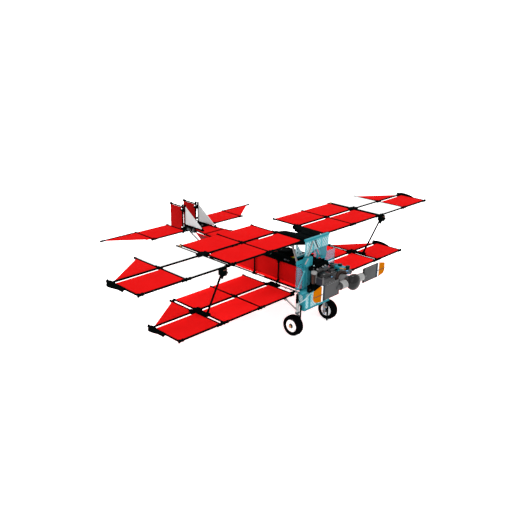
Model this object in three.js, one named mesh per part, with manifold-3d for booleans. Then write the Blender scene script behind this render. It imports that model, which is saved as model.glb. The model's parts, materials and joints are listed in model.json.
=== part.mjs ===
// Toy biplane made of thin rods and flat panels, parked tail down on two wheels and a tail skid.
// Millimetres. The airframe is drawn level: nose towards -Y, left wing towards +X, up +Z,
// with z = 0 in the upper wing's plane and y = 0 on its spar. The end of the file pitches it onto the ground.

import * as THREE from 'three';
import { mergeVertices } from 'three/addons/utils/BufferGeometryUtils.js';
import Module from 'manifold-3d';

const wasm = await Module();
wasm.setup();

// Stock: radii of rod, collar and sleeve, gap at a seat, thickness of a panel, sides of a rod and of a wheel
const ROD = 2.2;
const COLLAR = 3;
const SLEEVE = 3.4;
const GAP = 0.3;
const SHEET = 1.6;
const FACETS = 6;
const ROUND = 12;

// Wings: column places outwards from the middle, rows along the chord
const UPPER = {
  z: 0, spar: 0, lead: -72, rear: 69, panelRear: 66,
  inner: [33.8, 128, 222], outer: [230, 324.5, 419],
};
const LOWER = {
  z: -108.4, spar: 6.5, lead: -66.7, rear: 75.5, panelRear: 72.5,
  inner: [49.5, 141, 235.5], outer: [244, 338.5],
};
const FRONT_STRIP = 8;
// The lower wing's root: two stubs and a block that reaches under the fuselage side
const ROOT_STUB = { x: 37, radius: 2.8, rearOfLead: 8 };
const ROOT_BLOCK = { inner: 33, front: -19, rear: 8.5, low: -111, top: -106.5 };

// Tip fairing's outline outwards from the tip column and along the chord from the spar
const TIP = {
  top: 2.5, low: 6,
  edge: [[-1, 8], [2.5, 8], [9.5, 0], [8, -7], [4.5, -20], [2, -36], [-1, -34]],
};

// Wing fittings: half length of a sleeve, length of a rear end nub, reach and half depth of the double block
const FITTING = { sleeve: 9, nub: 6, reach: 8, depth: 7 };
// Clips that link panels under a rod: reach along and across it, and how low they pass
const CLIP = { long: 20, short: 8, across: 14, low: 5, top: 0.6 };

// Interplane strut: block under the upper leading edge, foot on the lower wing's double rods
const STRUT = {
  x: 241, topY: -67, topZ: -9.5, footY: -27, footZ: -102.6, radius: 2.5, block: 7, blockLow: -17, foot: 6,
};

// Centre section: the rib's outline from its rear end, along the top and back below, as [y, z]
const RIB = [[9, -1], [2, 2.5], [-75.7, 2.5], [-75.7, -8], [-50, -15], [-20, -12], [9, -7]];
const RIB_WIDTH = 3.5;
// The cover between the ribs has a notch at its rear over the cockpit, wider at the trailing edge
const CENTRE = {
  front: -75.7, rear: -2, low: -6, top: 2.5, notchY: -35, notchX: 7.7, mouthY: -8, mouthX: 15,
};
const CABANE = { x: 30, topY: -42, topZ: -14, footY: -59, footZ: -51, radius: 2, end: 3.3 };

// Fuselage
const SIDE_X = 32;
const TOP_Z = -56;
const BOTTOM_Z = -104;
const POSTS = [-9.3, 57.9, 125, 192];
const NOSE_Y = -77.7;
const BULKHEAD = { thickness: 4, rise: 6 };
const FLOOR = { low: BOTTOM_Z - ROD - GAP, thickness: 2.4, rear: 34 };
const CROSS_DROP = 3.6;
const DECK = { front: -57, rear: 30, low: -57, top: -54 };
const COCKPIT = { x: 20, front: -46, rear: -12, rim: -49, hump: -44 };
const COAMING = { x: 24, front: -54, rear: 18, humpFront: [-54, -47], humpRear: [-10, 14], humpRearX: 10 };
const SEAT = { x: 11, depth: 19, back: 5, height: 24 };
const TAIL_X = 24;
const TAIL_Y = 262;
const STRUT_END = { y: 276, z: -64 };
const TAIL_BAR_Y = 217.9;

// Nose screens
const SCREEN = {
  x: 36, y: -80, top: 4.3, beam: 4, low: -22, leg: 12, foot: 24, beamFront: -83, beamRear: -76,
  strut: [[3.6, -80, -20.6], [12.7, -80, -38.9]], strutRadius: 0.8,
};
const POST = { inner: 20, outer: 39, top: -31, step: -49, low: -103.7, rear: -78, front: -88 };
const LOW_POST = { inner: 18, outer: 38, front: -82 };
const WINDOW = { outer: 59.4, top: -34, band: 8, low: -91, y: -79.5, bandFront: -81, rise: 30, lap: 14 };
const NOSE_BAND = { x: 50, depth: 6, height: 8 };
const CHIN = { x: 40, y: -86, low: -142, sideRear: -74.3, sideLow: -130, toe: 6, wall: 2 };
const WINDSCREEN = {
  y: -50.5, foot: 29, shoulder: 27, shoulderZ: -16, notch: 8, notchZ: -38,
};

// Engine and propeller: the shaft lies along Y
const SHAFT = {
  z: -65, y: -166, radius: 3, clear: 0.4, neck: 6.5, neckFront: -142, drum: 8.8, drumFront: -155.8,
};
const MOUNT = { front: -96, top: -48, barY: -92.2, barZ: -90, barX: 30, bar: 3.8 };
// What stands on the mount, as [x], [y], [z] ranges: a box, a thin edge and a side block beside the post
const MOUNT_BLOCKS = [
  [[-17, 4], [-92, -82], [-49, -41]],
  [[-19.7, -17.2], [-87, -84], [-60, -27]],
  [[-34, -17], [-94, -88.3], [-56, -49.5]],
];
const PINS = { x: [4, 13], y: -88, radius: 1.4, top: -40, capX: 9.8, cap: 6, capTop: -38 };
const KNOB = { x: -29, z: -52, radius: 4, rear: -93, front: -97 };
const BLOCK = { right: -31, left: 26, front: -124, low: -96, top: -66 };
const CYLINDER = { x: -31, y: -101, low: -80, top: -57, radius: 6 };
const BLOCK_RIBS = [
  [[-32.5, -29], [-124.6, -121.6], [-76, -62]],
  [[-35.5, -29], [-107.5, -104.5], [-77, -61]],
];
const DOME = { x: -12, y: -111, profile: [[0, 0], [14.6, 0], [12, 4.2], [6.5, 7.2], [0, 8]] };
const TANK = {
  outer: 40, front: -129, rear: -99, low: -73, top: -57, neck: 5, neckEnd: -140.8, neckZ: -62.5, cap: 4.5,
};
// Caps on the tank, as [y, low end, top end]
const TANK_CAPS = [[-95, -66, -56], [-114, -58, -52.5], [-133, -66, -51.5]];
// The exhaust arch's path over the shaft, from its right side to its left
const ARCH = {
  radius: 4,
  path: [
    [-8, -139.5, -67], [-7.3, -139, -61], [-4.5, -139, -56.2],
    [0, -141.5, -53.2], [4, -145.5, -54], [7, -148, -58],
  ],
};
const SPINNER = { y: -172.8, radius: 15.3, half: 9.7, hub: 9, hubRear: -156.8 };
const BLADE = {
  root: 3, rootEnd: 32, rootRadius: 8, inner: 38.5, pin: 4, band: 84, top: 15, low: -15, half: 1.5,
  tip: [[84, -15], [90, -15], [107.6, -11.7], [112, -6], [111, 9.8], [90, 15], [84, 15]],
};

// Gear
const AXLE = { y: -74, z: -170.6, radius: 2.2 };
const TYRE = { radius: 21, rim: 13, inner: 46.5, outer: 64.1 };
const LEG = {
  inner: 40.3, outer: 45.4, foot: -176, depth: 2.4,
  beamInner: 33, beamFront: -74, beamRear: -19.3, beamLow: -111,
  outriggerRear: -70, neck: -132, neckInner: 40.4, neckOuter: 44,
};
const GUARD = { x: 43.9, y: -82, top: -129, low: -190.6, radius: 1.6, holders: [[-138, -133], [-160, -152]] };
const BRACE = { inner: 44, y: -73.6, low: -138.6, outer: 76, top: -112.4, radius: 1.3, spread: 1.6, end: 3 };
const SKID = { y: 232, z: -140, radius: 3, length: 26, width: 8, thickness: 5, crossY: 222 };

// Tail
const ELEVATOR = { z: -57, hinge: 268, rear: 333.5, inner: 44.5, boundary: 133.5, tip: 226.5 };
const FIN = { x: 20, front: 233.6, rear: 297.5, top: -9.4, base: -51.5, baseRod: -53.9 };
const RUDDER = { hinge: 305.5, rear: 350, top: -10, low: -74, lugs: [-19, -64] };
const LUG = { x: 4, front: 259, rear: 273, low: -64.5, top: -52 };
const RUDDER_LUG = { x: 4.4, reach: 3.4, half: 2.5 };

const SIDES_LR = [['left', 1], ['right', -1]];

// Colours
const surface = (color, roughness, metalness = 0) => ({ color, roughness, metalness });
const BLACK = surface('#101416', 0.5);
const RED = surface('#e01c1c', 0.45);
const WHITE = surface('#f4f4f2', 0.45);
const PALE_GREY = surface('#ccd4d4', 0.5);
const LIGHT_GREY = surface('#a8abad', 0.5);
const DARK_GREY = surface('#505052', 0.4);
const GLOSS_GREY = surface('#3c3c3e', 0.2);
const TEAL = surface('#2d7382', 0.4);
const GLASS_BLUE = surface('#8fc4cf', 0.2);
const ORANGE = surface('#e17d00', 0.45);
const OLIVE = surface('#8c8c14', 0.5);
const BROWN = surface('#241a18', 0.4);
const RUBBER = surface('#111111', 0.85);

// Solids from geometry
const toSolid = (geometry) => {
  geometry.deleteAttribute('normal');
  geometry.deleteAttribute('uv');
  const merged = mergeVertices(geometry, 1e-4);
  const triVerts = new Uint32Array(merged.index.array);
  const vertProperties = merged.attributes.position.array;
  return new wasm.Manifold(new wasm.Mesh({ numProp: 3, vertProperties, triVerts }));
};

const join = (solids) => solids.reduce((all, next) => all.add(next));

function rod(from, to, radius = ROD, facets = FACETS) {
  const start = new THREE.Vector3(...from);
  const axis = new THREE.Vector3(...to).sub(start);
  const geometry = new THREE.CylinderGeometry(radius, radius, axis.length(), facets);
  const middle = start.clone().addScaledVector(axis, 0.5);
  const along = new THREE.Vector3(0, 1, 0);
  geometry.applyQuaternion(new THREE.Quaternion().setFromUnitVectors(along, axis.normalize()));
  geometry.translate(middle.x, middle.y, middle.z);
  return toSolid(geometry);
}

function block([x0, x1], [y0, y1], [z0, z1]) {
  const geometry = new THREE.BoxGeometry(Math.abs(x1 - x0), Math.abs(y1 - y0), Math.abs(z1 - z0));
  geometry.translate((x0 + x1) / 2, (y0 + y1) / 2, (z0 + z1) / 2);
  return toSolid(geometry);
}

const extrude = (shape, depth) => new THREE.ExtrudeGeometry(shape, {
  depth, bevelEnabled: false, curveSegments: 8,
});
const points2 = (pairs) => pairs.map(([a, b]) => new THREE.Vector2(a, b));
const outline = (pairs) => new THREE.Shape(points2(pairs));
const mirrored = (half) => [...half, ...half.map(([x, other]) => [-x, other]).reverse()];
const lathe = (profile, segments) => new THREE.LatheGeometry(points2(profile), segments);

// A plate seen from above, from the side or from the front, between two levels of the third axis
function floorPlate(shape, [z0, z1]) {
  return toSolid(extrude(shape, z1 - z0).translate(0, 0, z0));
}

function sidePlate(points, [x0, x1]) {
  const axes = new THREE.Matrix4().makeBasis(
    new THREE.Vector3(0, 1, 0), new THREE.Vector3(0, 0, 1), new THREE.Vector3(1, 0, 0));
  const low = Math.min(x0, x1);
  return toSolid(extrude(outline(points), Math.abs(x1 - x0)).applyMatrix4(axes).translate(low, 0, 0));
}

function frontPlate(points, [y0, y1]) {
  return toSolid(extrude(outline(points), y1 - y0).rotateX(Math.PI / 2).translate(0, y1, 0));
}

const airframe = new THREE.Group();

function node(name, solid, finish) {
  const { vertProperties, triVerts } = solid.getMesh();
  const geometry = new THREE.BufferGeometry();
  geometry.setAttribute('position', new THREE.BufferAttribute(new Float32Array(vertProperties), 3));
  geometry.setIndex(new THREE.BufferAttribute(new Uint32Array(triVerts), 1));
  geometry.computeVertexNormals();
  const mesh = new THREE.Mesh(geometry, new THREE.MeshStandardMaterial(finish));
  mesh.name = name;
  airframe.add(mesh);
}

// Wing frames: rods along the span and the chord with sleeves where they cross.
// The same frame, grown by the seat gap, cuts the pieces that meet it.
function tipFairing(wing, side, x, grow) {
  const edge = TIP.edge.map(([out, y]) => [side * (x + out + Math.sign(out) * grow), wing.spar + y]);
  return floorPlate(outline(edge), [wing.z - TIP.low - grow, wing.z + TIP.top + grow]);
}

function wingFrame(wing, side, grow = 0) {
  const { z, spar, lead, rear } = wing;
  const { sleeve, nub, reach, depth } = FITTING;
  const tip = wing.outer.at(-1);
  const at = (x, y) => [side * x, y, z];
  const parts = [];
  for (const columns of [wing.inner, wing.outer]) {
    const first = columns[0];
    const last = columns.at(-1);
    for (const row of [spar, lead]) {
      parts.push(rod(at(first, row), at(last, row), ROD + grow));
    }
    for (const x of columns) {
      const back = x === tip ? spar + sleeve / 2 : rear;
      const sleeveBack = x === tip ? back : spar + sleeve;
      const sleeveEnds = [Math.max(x - sleeve, first - 1), Math.min(x + sleeve, last + 1)];
      parts.push(rod(at(x, back), at(x, lead - 2), ROD + grow));
      parts.push(rod(at(x, spar - sleeve), at(x, sleeveBack), SLEEVE + grow));
      parts.push(rod(at(sleeveEnds[0], lead), at(sleeveEnds[1], lead), SLEEVE + grow));
      if (x !== tip) parts.push(rod(at(x, rear - nub), at(x, rear), COLLAR + grow));
    }
  }
  const ends = [wing.inner.at(-1) - reach, wing.outer[0] + reach];
  parts.push(block(ends.map((x) => side * x), [spar - depth - grow, spar + depth + grow],
    [z - SLEEVE - grow, z + SLEEVE + grow]));
  parts.push(rod(at(ends[0], lead), at(ends[1], lead), SLEEVE + grow));
  parts.push(tipFairing(wing, side, tip, grow));
  return join(parts);
}

const rectangle = (x0, x1, y0, y1) => [[x0, y0], [x1, y0], [x1, y1], [x0, y1]];
const acrossRod = (x, y) => [x, y, CLIP.across, CLIP.short];
const acrossSpar = (x, spar) => [x, spar - 3, CLIP.short, CLIP.long];

// A set of flat panels in one plane, linked by clips [x, y, size x, size y] under the rods between them
function panelSet(z, side, outlines, clips, frameCutter) {
  const level = [z - SHEET / 2, z + SHEET / 2];
  const sheets = outlines.map((points) => floorPlate(outline(points.map(([x, y]) => [side * x, y])), level));
  const straps = clips.map(([x, y, sizeX, sizeY]) => block(
    [side * (x - sizeX / 2), side * (x + sizeX / 2)],
    [y - sizeY / 2, y + sizeY / 2], [z - CLIP.low, z - CLIP.top]));
  return join([...sheets, ...straps]).subtract(frameCutter);
}

// The lower wing's spar and leading edge run inwards to the fuselage side
function rootPieces(wing, side) {
  const root = wing.inner[0];
  return [
    ...[wing.spar, wing.lead + ROOT_STUB.rearOfLead].map((y) => rod(
      [side * (ROOT_STUB.x + GAP), y, wing.z], [side * (root + 1), y, wing.z], ROOT_STUB.radius)),
    block([side * ROOT_BLOCK.inner, side * root], [ROOT_BLOCK.front, ROOT_BLOCK.rear],
      [ROOT_BLOCK.low, ROOT_BLOCK.top]),
  ];
}

function addWing(label, wing, side, sideName) {
  const cutter = wingFrame(wing, side, GAP);
  const { z, spar, lead, panelRear } = wing;
  const frontEdge = spar - FRONT_STRIP;
  const [root, middle, inboard] = wing.inner;
  const outboard = wing.outer[0];
  const [tipColumn, tip] = wing.outer.slice(-2);
  const bays = (from, to) => [rectangle(from, to, lead, frontEdge), rectangle(from, to, spar, panelRear)];
  const quarter = (from, to) => [0.25, 0.75].map((t) => from + t * (to - from));

  const name = (part) => `${label}_${part}_${sideName}`;
  const rootJoint = wing === LOWER ? rootPieces(wing, side) : [];
  node(name('wing_frame'), join([wingFrame(wing, side), ...rootJoint]), BLACK);

  const redClips = [
    ...[...quarter(lead, frontEdge), ...quarter(spar, panelRear)].map((y) => acrossRod(middle, y)),
    ...quarter(root, middle).map((x) => acrossSpar(x, spar)),
  ];
  node(name('panels_red'), panelSet(z, side, bays(root, inboard), redClips, cutter), RED);
  if (wing === UPPER) {
    const clips = quarter(outboard, tipColumn).map((x) => acrossSpar(x, spar));
    node(name('panels_white'), panelSet(z, side, bays(outboard, tipColumn), clips, cutter), WHITE);
  }
  const tipFaces = [
    rectangle(tipColumn, tip, lead, frontEdge),
    [[tipColumn, spar], [tip, spar], [tipColumn, panelRear]],
  ];
  const tipClips = quarter(tipColumn, tip - CLIP.long).map((x) => acrossSpar(x, spar));
  node(name('panels_tip'), panelSet(z, side, tipFaces, tipClips, cutter), RED);
}

for (const [sideName, side] of SIDES_LR) {
  addWing('upper', UPPER, side, sideName);
  addWing('lower', LOWER, side, sideName);
}

// Interplane struts
for (const [sideName, side] of SIDES_LR) {
  const { x, topY, topZ, footY, footZ, radius, foot, blockLow } = STRUT;
  const half = STRUT.block;
  const solid = join([
    block([side * (x - half), side * (x + half)], [UPPER.lead - 3, topY + half], [blockLow, UPPER.z - ROD - GAP]),
    rod([side * x, topY, topZ], [side * x, footY, footZ], radius),
    block([side * (x - foot), side * (x + foot)], [footY - 8, footY + 8], [LOWER.z + ROD + GAP, footZ + 3]),
  ]);
  const cutter = wingFrame(UPPER, side, GAP).add(wingFrame(LOWER, side, GAP));
  node(`interplane_strut_${sideName}`, solid.subtract(cutter), BLACK);
}

// Centre section: a notched cover with a deep rib on each side
const ribOuter = UPPER.inner[0] - ROD - GAP;
const coverHalf = [
  [ribOuter - 1, CENTRE.front], [ribOuter - 1, CENTRE.rear],
  [CENTRE.mouthX, CENTRE.mouthY], [CENTRE.notchX, CENTRE.notchY],
];
const rootCutter = wingFrame(UPPER, 1, GAP).add(wingFrame(UPPER, -1, GAP));
node('centre_section', join([
  floorPlate(outline(mirrored(coverHalf)), [CENTRE.low, CENTRE.top]),
  ...[1, -1].map((side) => sidePlate(RIB, [side * (ribOuter - RIB_WIDTH), side * ribOuter])),
]).subtract(rootCutter), BLACK);

// Cabane struts from the ribs down to the top longerons
for (const [sideName, side] of SIDES_LR) {
  const { x, topY, topZ, footY, footZ, radius, end } = CABANE;
  const headZ = topZ - end;
  const footRodZ = TOP_Z + ROD + GAP + end;
  const solid = join([
    rod([side * x, topY, topZ], [side * SIDE_X, footY, footZ], radius),
    rod([side * (x - 4), topY, headZ], [side * (x + 4), topY, headZ], end),
    rod([side * (SIDE_X - 3), footY, footRodZ], [side * (SIDE_X + 3), footY, footRodZ], end),
  ]);
  const under = sidePlate(RIB.map(([y, z]) => [y, z - GAP]),
    [side * (ribOuter - RIB_WIDTH - GAP), side * (ribOuter + ROD)]);
  node(`cabane_strut_${sideName}`, solid.subtract(under), LIGHT_GREY);
}

// Fuselage: longerons, posts and cross rods, with the nose bulkhead and the floor
function longerons(grow = 0) {
  const parts = [];
  const lastPost = POSTS.at(-1);
  for (const side of [1, -1]) {
    const x = side * SIDE_X;
    const tailX = side * TAIL_X;
    parts.push(rod([x, NOSE_Y + 1, TOP_Z], [x, lastPost, TOP_Z], ROD + grow));
    parts.push(rod([x, lastPost, TOP_Z], [tailX, TAIL_Y, TOP_Z - 1], ROD + grow));
    parts.push(rod([x, NOSE_Y + 1, BOTTOM_Z], [x, lastPost + 2, BOTTOM_Z], ROD + grow));
    parts.push(rod([tailX, lastPost, BOTTOM_Z], [tailX, STRUT_END.y, STRUT_END.z], ROD + grow));
    parts.push(rod([x, NOSE_Y + 3, TOP_Z], [x, NOSE_Y + 3, BOTTOM_Z], ROD + grow));
    for (const y of POSTS) {
      parts.push(rod([x, y, TOP_Z], [x, y, BOTTOM_Z], ROD + grow));
      parts.push(rod([x, y, TOP_Z - 6], [x, y, TOP_Z + 1], COLLAR + grow));
      parts.push(rod([x, y, BOTTOM_Z - 1], [x, y, BOTTOM_Z + 6], COLLAR + grow));
    }
  }
  return join(parts);
}

function crossRods(grow = 0) {
  const low = POSTS.map((y) => rod([-SIDE_X, y, BOTTOM_Z], [SIDE_X, y, BOTTOM_Z], ROD + grow));
  const high = POSTS.slice(1).map((y) => rod(
    [-SIDE_X, y, TOP_Z - CROSS_DROP], [SIDE_X, y, TOP_Z - CROSS_DROP], ROD + grow));
  const tailBarZ = TOP_Z - 0.9;
  const tailBar = rod([-TAIL_X - 4, TAIL_BAR_Y, tailBarZ], [TAIL_X + 4, TAIL_BAR_Y, tailBarZ], ROD + grow);
  return join([...low, ...high, tailBar]);
}

node('fuselage_frame', join([
  longerons(),
  crossRods(),
  block([-SIDE_X, SIDE_X], [NOSE_Y, NOSE_Y + BULKHEAD.thickness], [FLOOR.low, TOP_Z + BULKHEAD.rise]),
  block([-SIDE_X, SIDE_X], [NOSE_Y + 2, FLOOR.rear], [FLOOR.low, FLOOR.low + FLOOR.thickness]),
]), BLACK);

// Cockpit deck between the top longerons, with the raised coaming and a hump before and behind the well
const deckX = SIDE_X - ROD - GAP;
const humpZ = [COCKPIT.rim - 1, COCKPIT.hump];
const well = block([-COCKPIT.x, COCKPIT.x], [COCKPIT.front, COCKPIT.rear], [DECK.low - 1, COCKPIT.rim + 1]);
const humps = join([
  block([-COCKPIT.x, COCKPIT.x], COAMING.humpFront, humpZ),
  block([-COAMING.humpRearX, COAMING.humpRearX], COAMING.humpRear, humpZ),
]);
node('cockpit_deck', join([
  block([-deckX, deckX], [DECK.front, DECK.rear], [DECK.low, DECK.top]),
  block([-COAMING.x, COAMING.x], [COAMING.front, COAMING.rear], [TOP_Z, COCKPIT.rim]),
]).subtract(well).add(humps).subtract(longerons(GAP)), BLACK);

// Tail frame: crossbars, fin base rods and posts, and the lugs of the elevator and rudder hinges
function tailFrame(grow = 0) {
  const { x, front, rear, top, baseRod } = FIN;
  const grown = ([from, to]) => [from - grow, to + grow];
  const around = (middle, half) => grown([middle - half, middle + half]);
  const parts = [
    rod([-x, TAIL_Y, ELEVATOR.z], [x, TAIL_Y, ELEVATOR.z], ROD + grow),
    rod([-x - 3, rear, ELEVATOR.z], [x + 3, rear, ELEVATOR.z], ROD + grow),
  ];
  for (const centre of [x, -x]) {
    parts.push(rod([centre, front, baseRod], [centre, rear + 1, baseRod], ROD + grow));
    parts.push(rod([centre, rear, RUDDER.low + 6], [centre, rear, top + 2], ROD + grow));
    parts.push(block(around(centre, LUG.x), grown([LUG.front, LUG.rear]), grown([LUG.low, LUG.top])));
    for (const z of RUDDER.lugs) {
      parts.push(block(around(centre, RUDDER_LUG.x), grown([rear - 3, RUDDER.hinge + RUDDER_LUG.reach]),
        around(z, RUDDER_LUG.half)));
    }
  }
  return join(parts);
}

const hingeClear = join([
  rod([-60, ELEVATOR.hinge, ELEVATOR.z], [60, ELEVATOR.hinge, ELEVATOR.z], ROD + 0.5),
  ...[FIN.x, -FIN.x].map((x) => rod(
    [x, RUDDER.hinge, RUDDER.low], [x, RUDDER.hinge, RUDDER.top + 8], ROD + 0.5)),
]);
node('tail_frame', tailFrame().subtract(longerons(GAP)).subtract(hingeClear), BLACK);

// Red skin on both sides, set just inside the posts, and the red rear deck
const fuselageCutter = join([longerons(GAP), crossRods(GAP), tailFrame(GAP)]);
const skinTop = TOP_Z - ROD - GAP;
const skinLow = BOTTOM_Z + ROD + GAP;
const skinFront = NOSE_Y + BULKHEAD.thickness + 2.2;
const sideSkin = [[skinFront, skinTop], [250, skinTop - 1], [190, skinLow], [skinFront, skinLow]];
const skinX = SIDE_X - SLEEVE - GAP;
for (const [sideName, side] of SIDES_LR) {
  const skin = sidePlate(sideSkin, [side * (skinX - SHEET), side * skinX]);
  node(`fuselage_side_${sideName}`, skin.subtract(fuselageCutter), RED);
}

const deckPoints = [
  [-SIDE_X, DECK.rear + GAP], [SIDE_X, DECK.rear + GAP], [SIDE_X, POSTS.at(-1)],
  [TAIL_X, TAIL_Y - 4], [-TAIL_X, TAIL_Y - 4], [-SIDE_X, POSTS.at(-1)],
];
const deckStrap = block([-6, 6], [TAIL_BAR_Y - 8, TAIL_BAR_Y + 8], [TOP_Z - 6, TOP_Z - 0.6]);
node('fuselage_deck', floorPlate(outline(deckPoints), [TOP_Z - SHEET / 2, TOP_Z + SHEET / 2])
  .add(deckStrap).subtract(fuselageCutter), RED);

// Seat on the cockpit floor
const floorTop = FLOOR.low + FLOOR.thickness + GAP;
const seatRear = COCKPIT.rear - GAP;
node('seat', join([
  block([-SEAT.x, SEAT.x], [seatRear - SEAT.depth, seatRear], [floorTop, floorTop + SEAT.height]),
  block([-SEAT.x, SEAT.x], [seatRear - SEAT.back, seatRear], [floorTop, COCKPIT.rim - 1]),
]), OLIVE);

// Nose: post and bands on the right, screen under the upper wing, windows, chin and windscreen
node('nose_frame', join([
  block([-POST.outer, -POST.inner], [POST.front, POST.rear], [POST.step, POST.top]),
  block([-LOW_POST.outer, -LOW_POST.inner], [LOW_POST.front, POST.rear], [POST.low, POST.step + 1]),
  block([-WINDOW.outer, -POST.inner], [WINDOW.bandFront, POST.rear], [WINDOW.top - WINDOW.band, WINDOW.top]),
  block([-NOSE_BAND.x, NOSE_BAND.x], [POST.front, POST.front + NOSE_BAND.depth],
    [POST.low, POST.low + NOSE_BAND.height]),
]), TEAL);

const screenFoot = POST.top + GAP;
const screenFace = [
  [SCREEN.x, 1], [SCREEN.x, SCREEN.low], [-SCREEN.leg, SCREEN.low], [-SCREEN.foot, screenFoot],
  [-SCREEN.x, screenFoot], [-SCREEN.x, 1],
];
node('upper_screen', join([
  frontPlate(screenFace, [SCREEN.y - 1, SCREEN.y + 1]),
  block([-SCREEN.x, SCREEN.x], [SCREEN.beamFront, SCREEN.beamRear], [SCREEN.top - SCREEN.beam, SCREEN.top]),
  rod(...SCREEN.strut, SCREEN.strutRadius),
]), GLASS_BLUE);

// The right pane hangs in the corner of post and band, the left one fills the whole side of the nose
const rightPane = rectangle(-WINDOW.outer, -POST.outer - GAP, WINDOW.low, WINDOW.top - WINDOW.band - GAP);
const leftPane = [
  [POST.inner, WINDOW.low], [WINDOW.outer, WINDOW.low], [WINDOW.outer, WINDOW.top], [WINDOW.rise, WINDOW.top],
  [WINDOW.rise, SCREEN.low - GAP], [WINDOW.lap, SCREEN.low - GAP], [WINDOW.lap, MOUNT.top + GAP],
  [POST.inner, MOUNT.top + GAP],
];
for (const [sideName, face] of [['left', leftPane], ['right', rightPane]]) {
  node(`nose_window_${sideName}`, frontPlate(face, [WINDOW.y - 1, WINDOW.y + 1]), GLASS_BLUE);
}

const chinTop = POST.low - GAP;
const chinSide = [
  [CHIN.y, chinTop], [CHIN.sideRear, chinTop], [CHIN.sideRear, CHIN.sideLow],
  [CHIN.y + CHIN.toe, CHIN.low], [CHIN.y, CHIN.low],
];
node('chin_screen', join([
  block([-CHIN.x, CHIN.x], [CHIN.y - 1, CHIN.y + 1], [CHIN.low, chinTop]),
  ...[1, -1].map((side) => sidePlate(chinSide, [side * (CHIN.x - CHIN.wall), side * CHIN.x])),
]), GLASS_BLUE);

const screenBase = COCKPIT.hump + GAP;
const windscreenHalf = [
  [WINDSCREEN.foot, screenBase], [WINDSCREEN.shoulder, WINDSCREEN.shoulderZ],
  [WINDSCREEN.notch, WINDSCREEN.notchZ],
];
node('windscreen', frontPlate(mirrored(windscreenHalf), [WINDSCREEN.y - 1, WINDSCREEN.y + 1]), GLASS_BLUE);

// Engine: a mount beside the nose post, the block, a domed cover, a tank on the left and the exhaust arch
const upright = (x, y, [low, top], radius, facets = FACETS) => rod([x, y, low], [x, y, top], radius, facets);
node('engine_mount', join([
  block([-LOW_POST.inner + GAP, POST.inner - GAP], [MOUNT.front, NOSE_Y - GAP],
    [POST.low + NOSE_BAND.height + GAP, MOUNT.top]),
  rod([-MOUNT.barX, MOUNT.barY, MOUNT.barZ], [MOUNT.barX, MOUNT.barY, MOUNT.barZ], MOUNT.bar),
  ...MOUNT_BLOCKS.map((ranges) => block(...ranges)),
  ...PINS.x.map((x) => upright(x, PINS.y, [MOUNT.top - 1, PINS.top + 1], PINS.radius)),
  upright(PINS.capX, PINS.y, [PINS.top, PINS.capTop], PINS.cap, ROUND),
  rod([KNOB.x, KNOB.rear, KNOB.z], [KNOB.x, KNOB.front, KNOB.z], KNOB.radius, ROUND),
]), BLACK);

const alongShaft = (from, to, radius) => rod([0, from, SHAFT.z], [0, to, SHAFT.z], radius, ROUND);
const engineBody = (grow) => join([
  block([BLOCK.right - grow, BLOCK.left + grow], [BLOCK.front - grow, MOUNT.front - GAP],
    [BLOCK.low, BLOCK.top]),
  alongShaft(BLOCK.front + 1, SHAFT.neckFront, SHAFT.neck + grow),
  alongShaft(SHAFT.neckFront + 1 + grow, SHAFT.drumFront - grow, SHAFT.drum + grow),
]);
node('engine_block', join([
  engineBody(0),
  upright(CYLINDER.x, CYLINDER.y, [CYLINDER.low, CYLINDER.top], CYLINDER.radius, ROUND),
  ...BLOCK_RIBS.map((ranges) => block(...ranges)),
]).subtract(alongShaft(SHAFT.y, BLOCK.front + 11, SHAFT.radius + SHAFT.clear)), DARK_GREY);

node('engine_dome', toSolid(lathe(DOME.profile, 16).rotateX(Math.PI / 2)
  .translate(DOME.x, DOME.y, BLOCK.top + GAP)).subtract(engineBody(GAP)), GLOSS_GREY);

const tankX = (BLOCK.left + GAP + TANK.outer) / 2;
node('side_tank', join([
  block([BLOCK.left + GAP, TANK.outer], [TANK.front, TANK.rear], [TANK.low, TANK.top]),
  rod([tankX, TANK.front + 1, TANK.neckZ], [tankX, TANK.neckEnd, TANK.neckZ], TANK.neck),
  ...TANK_CAPS.map(([y, low, top]) => upright(tankX, y, [low, top], TANK.cap, ROUND)),
]), TEAL);

const arch = new THREE.CatmullRomCurve3(ARCH.path.map((point) => new THREE.Vector3(...point)));
const archSection = new THREE.Shape().absellipse(0, 0, ARCH.radius, ARCH.radius, 0, Math.PI * 2);
const archSolid = toSolid(new THREE.ExtrudeGeometry(archSection, {
  steps: 10, curveSegments: 3, extrudePath: arch,
}));
node('exhaust_arch', archSolid.subtract(engineBody(GAP)), BROWN);

// Propeller
const spinnerHub = (grow) => toSolid(new THREE.SphereGeometry(1, 16, 10)
  .scale(SPINNER.radius + grow, SPINNER.half + grow, SPINNER.radius + grow).translate(0, SPINNER.y, SHAFT.z))
  .add(alongShaft(SPINNER.y, SPINNER.hubRear + grow, SPINNER.hub + grow));
const shaft = alongShaft(SPINNER.hubRear - 1, BLOCK.front - 1, SHAFT.radius);
node('spinner', spinnerHub(0).add(shaft), GLOSS_GREY);

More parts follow.
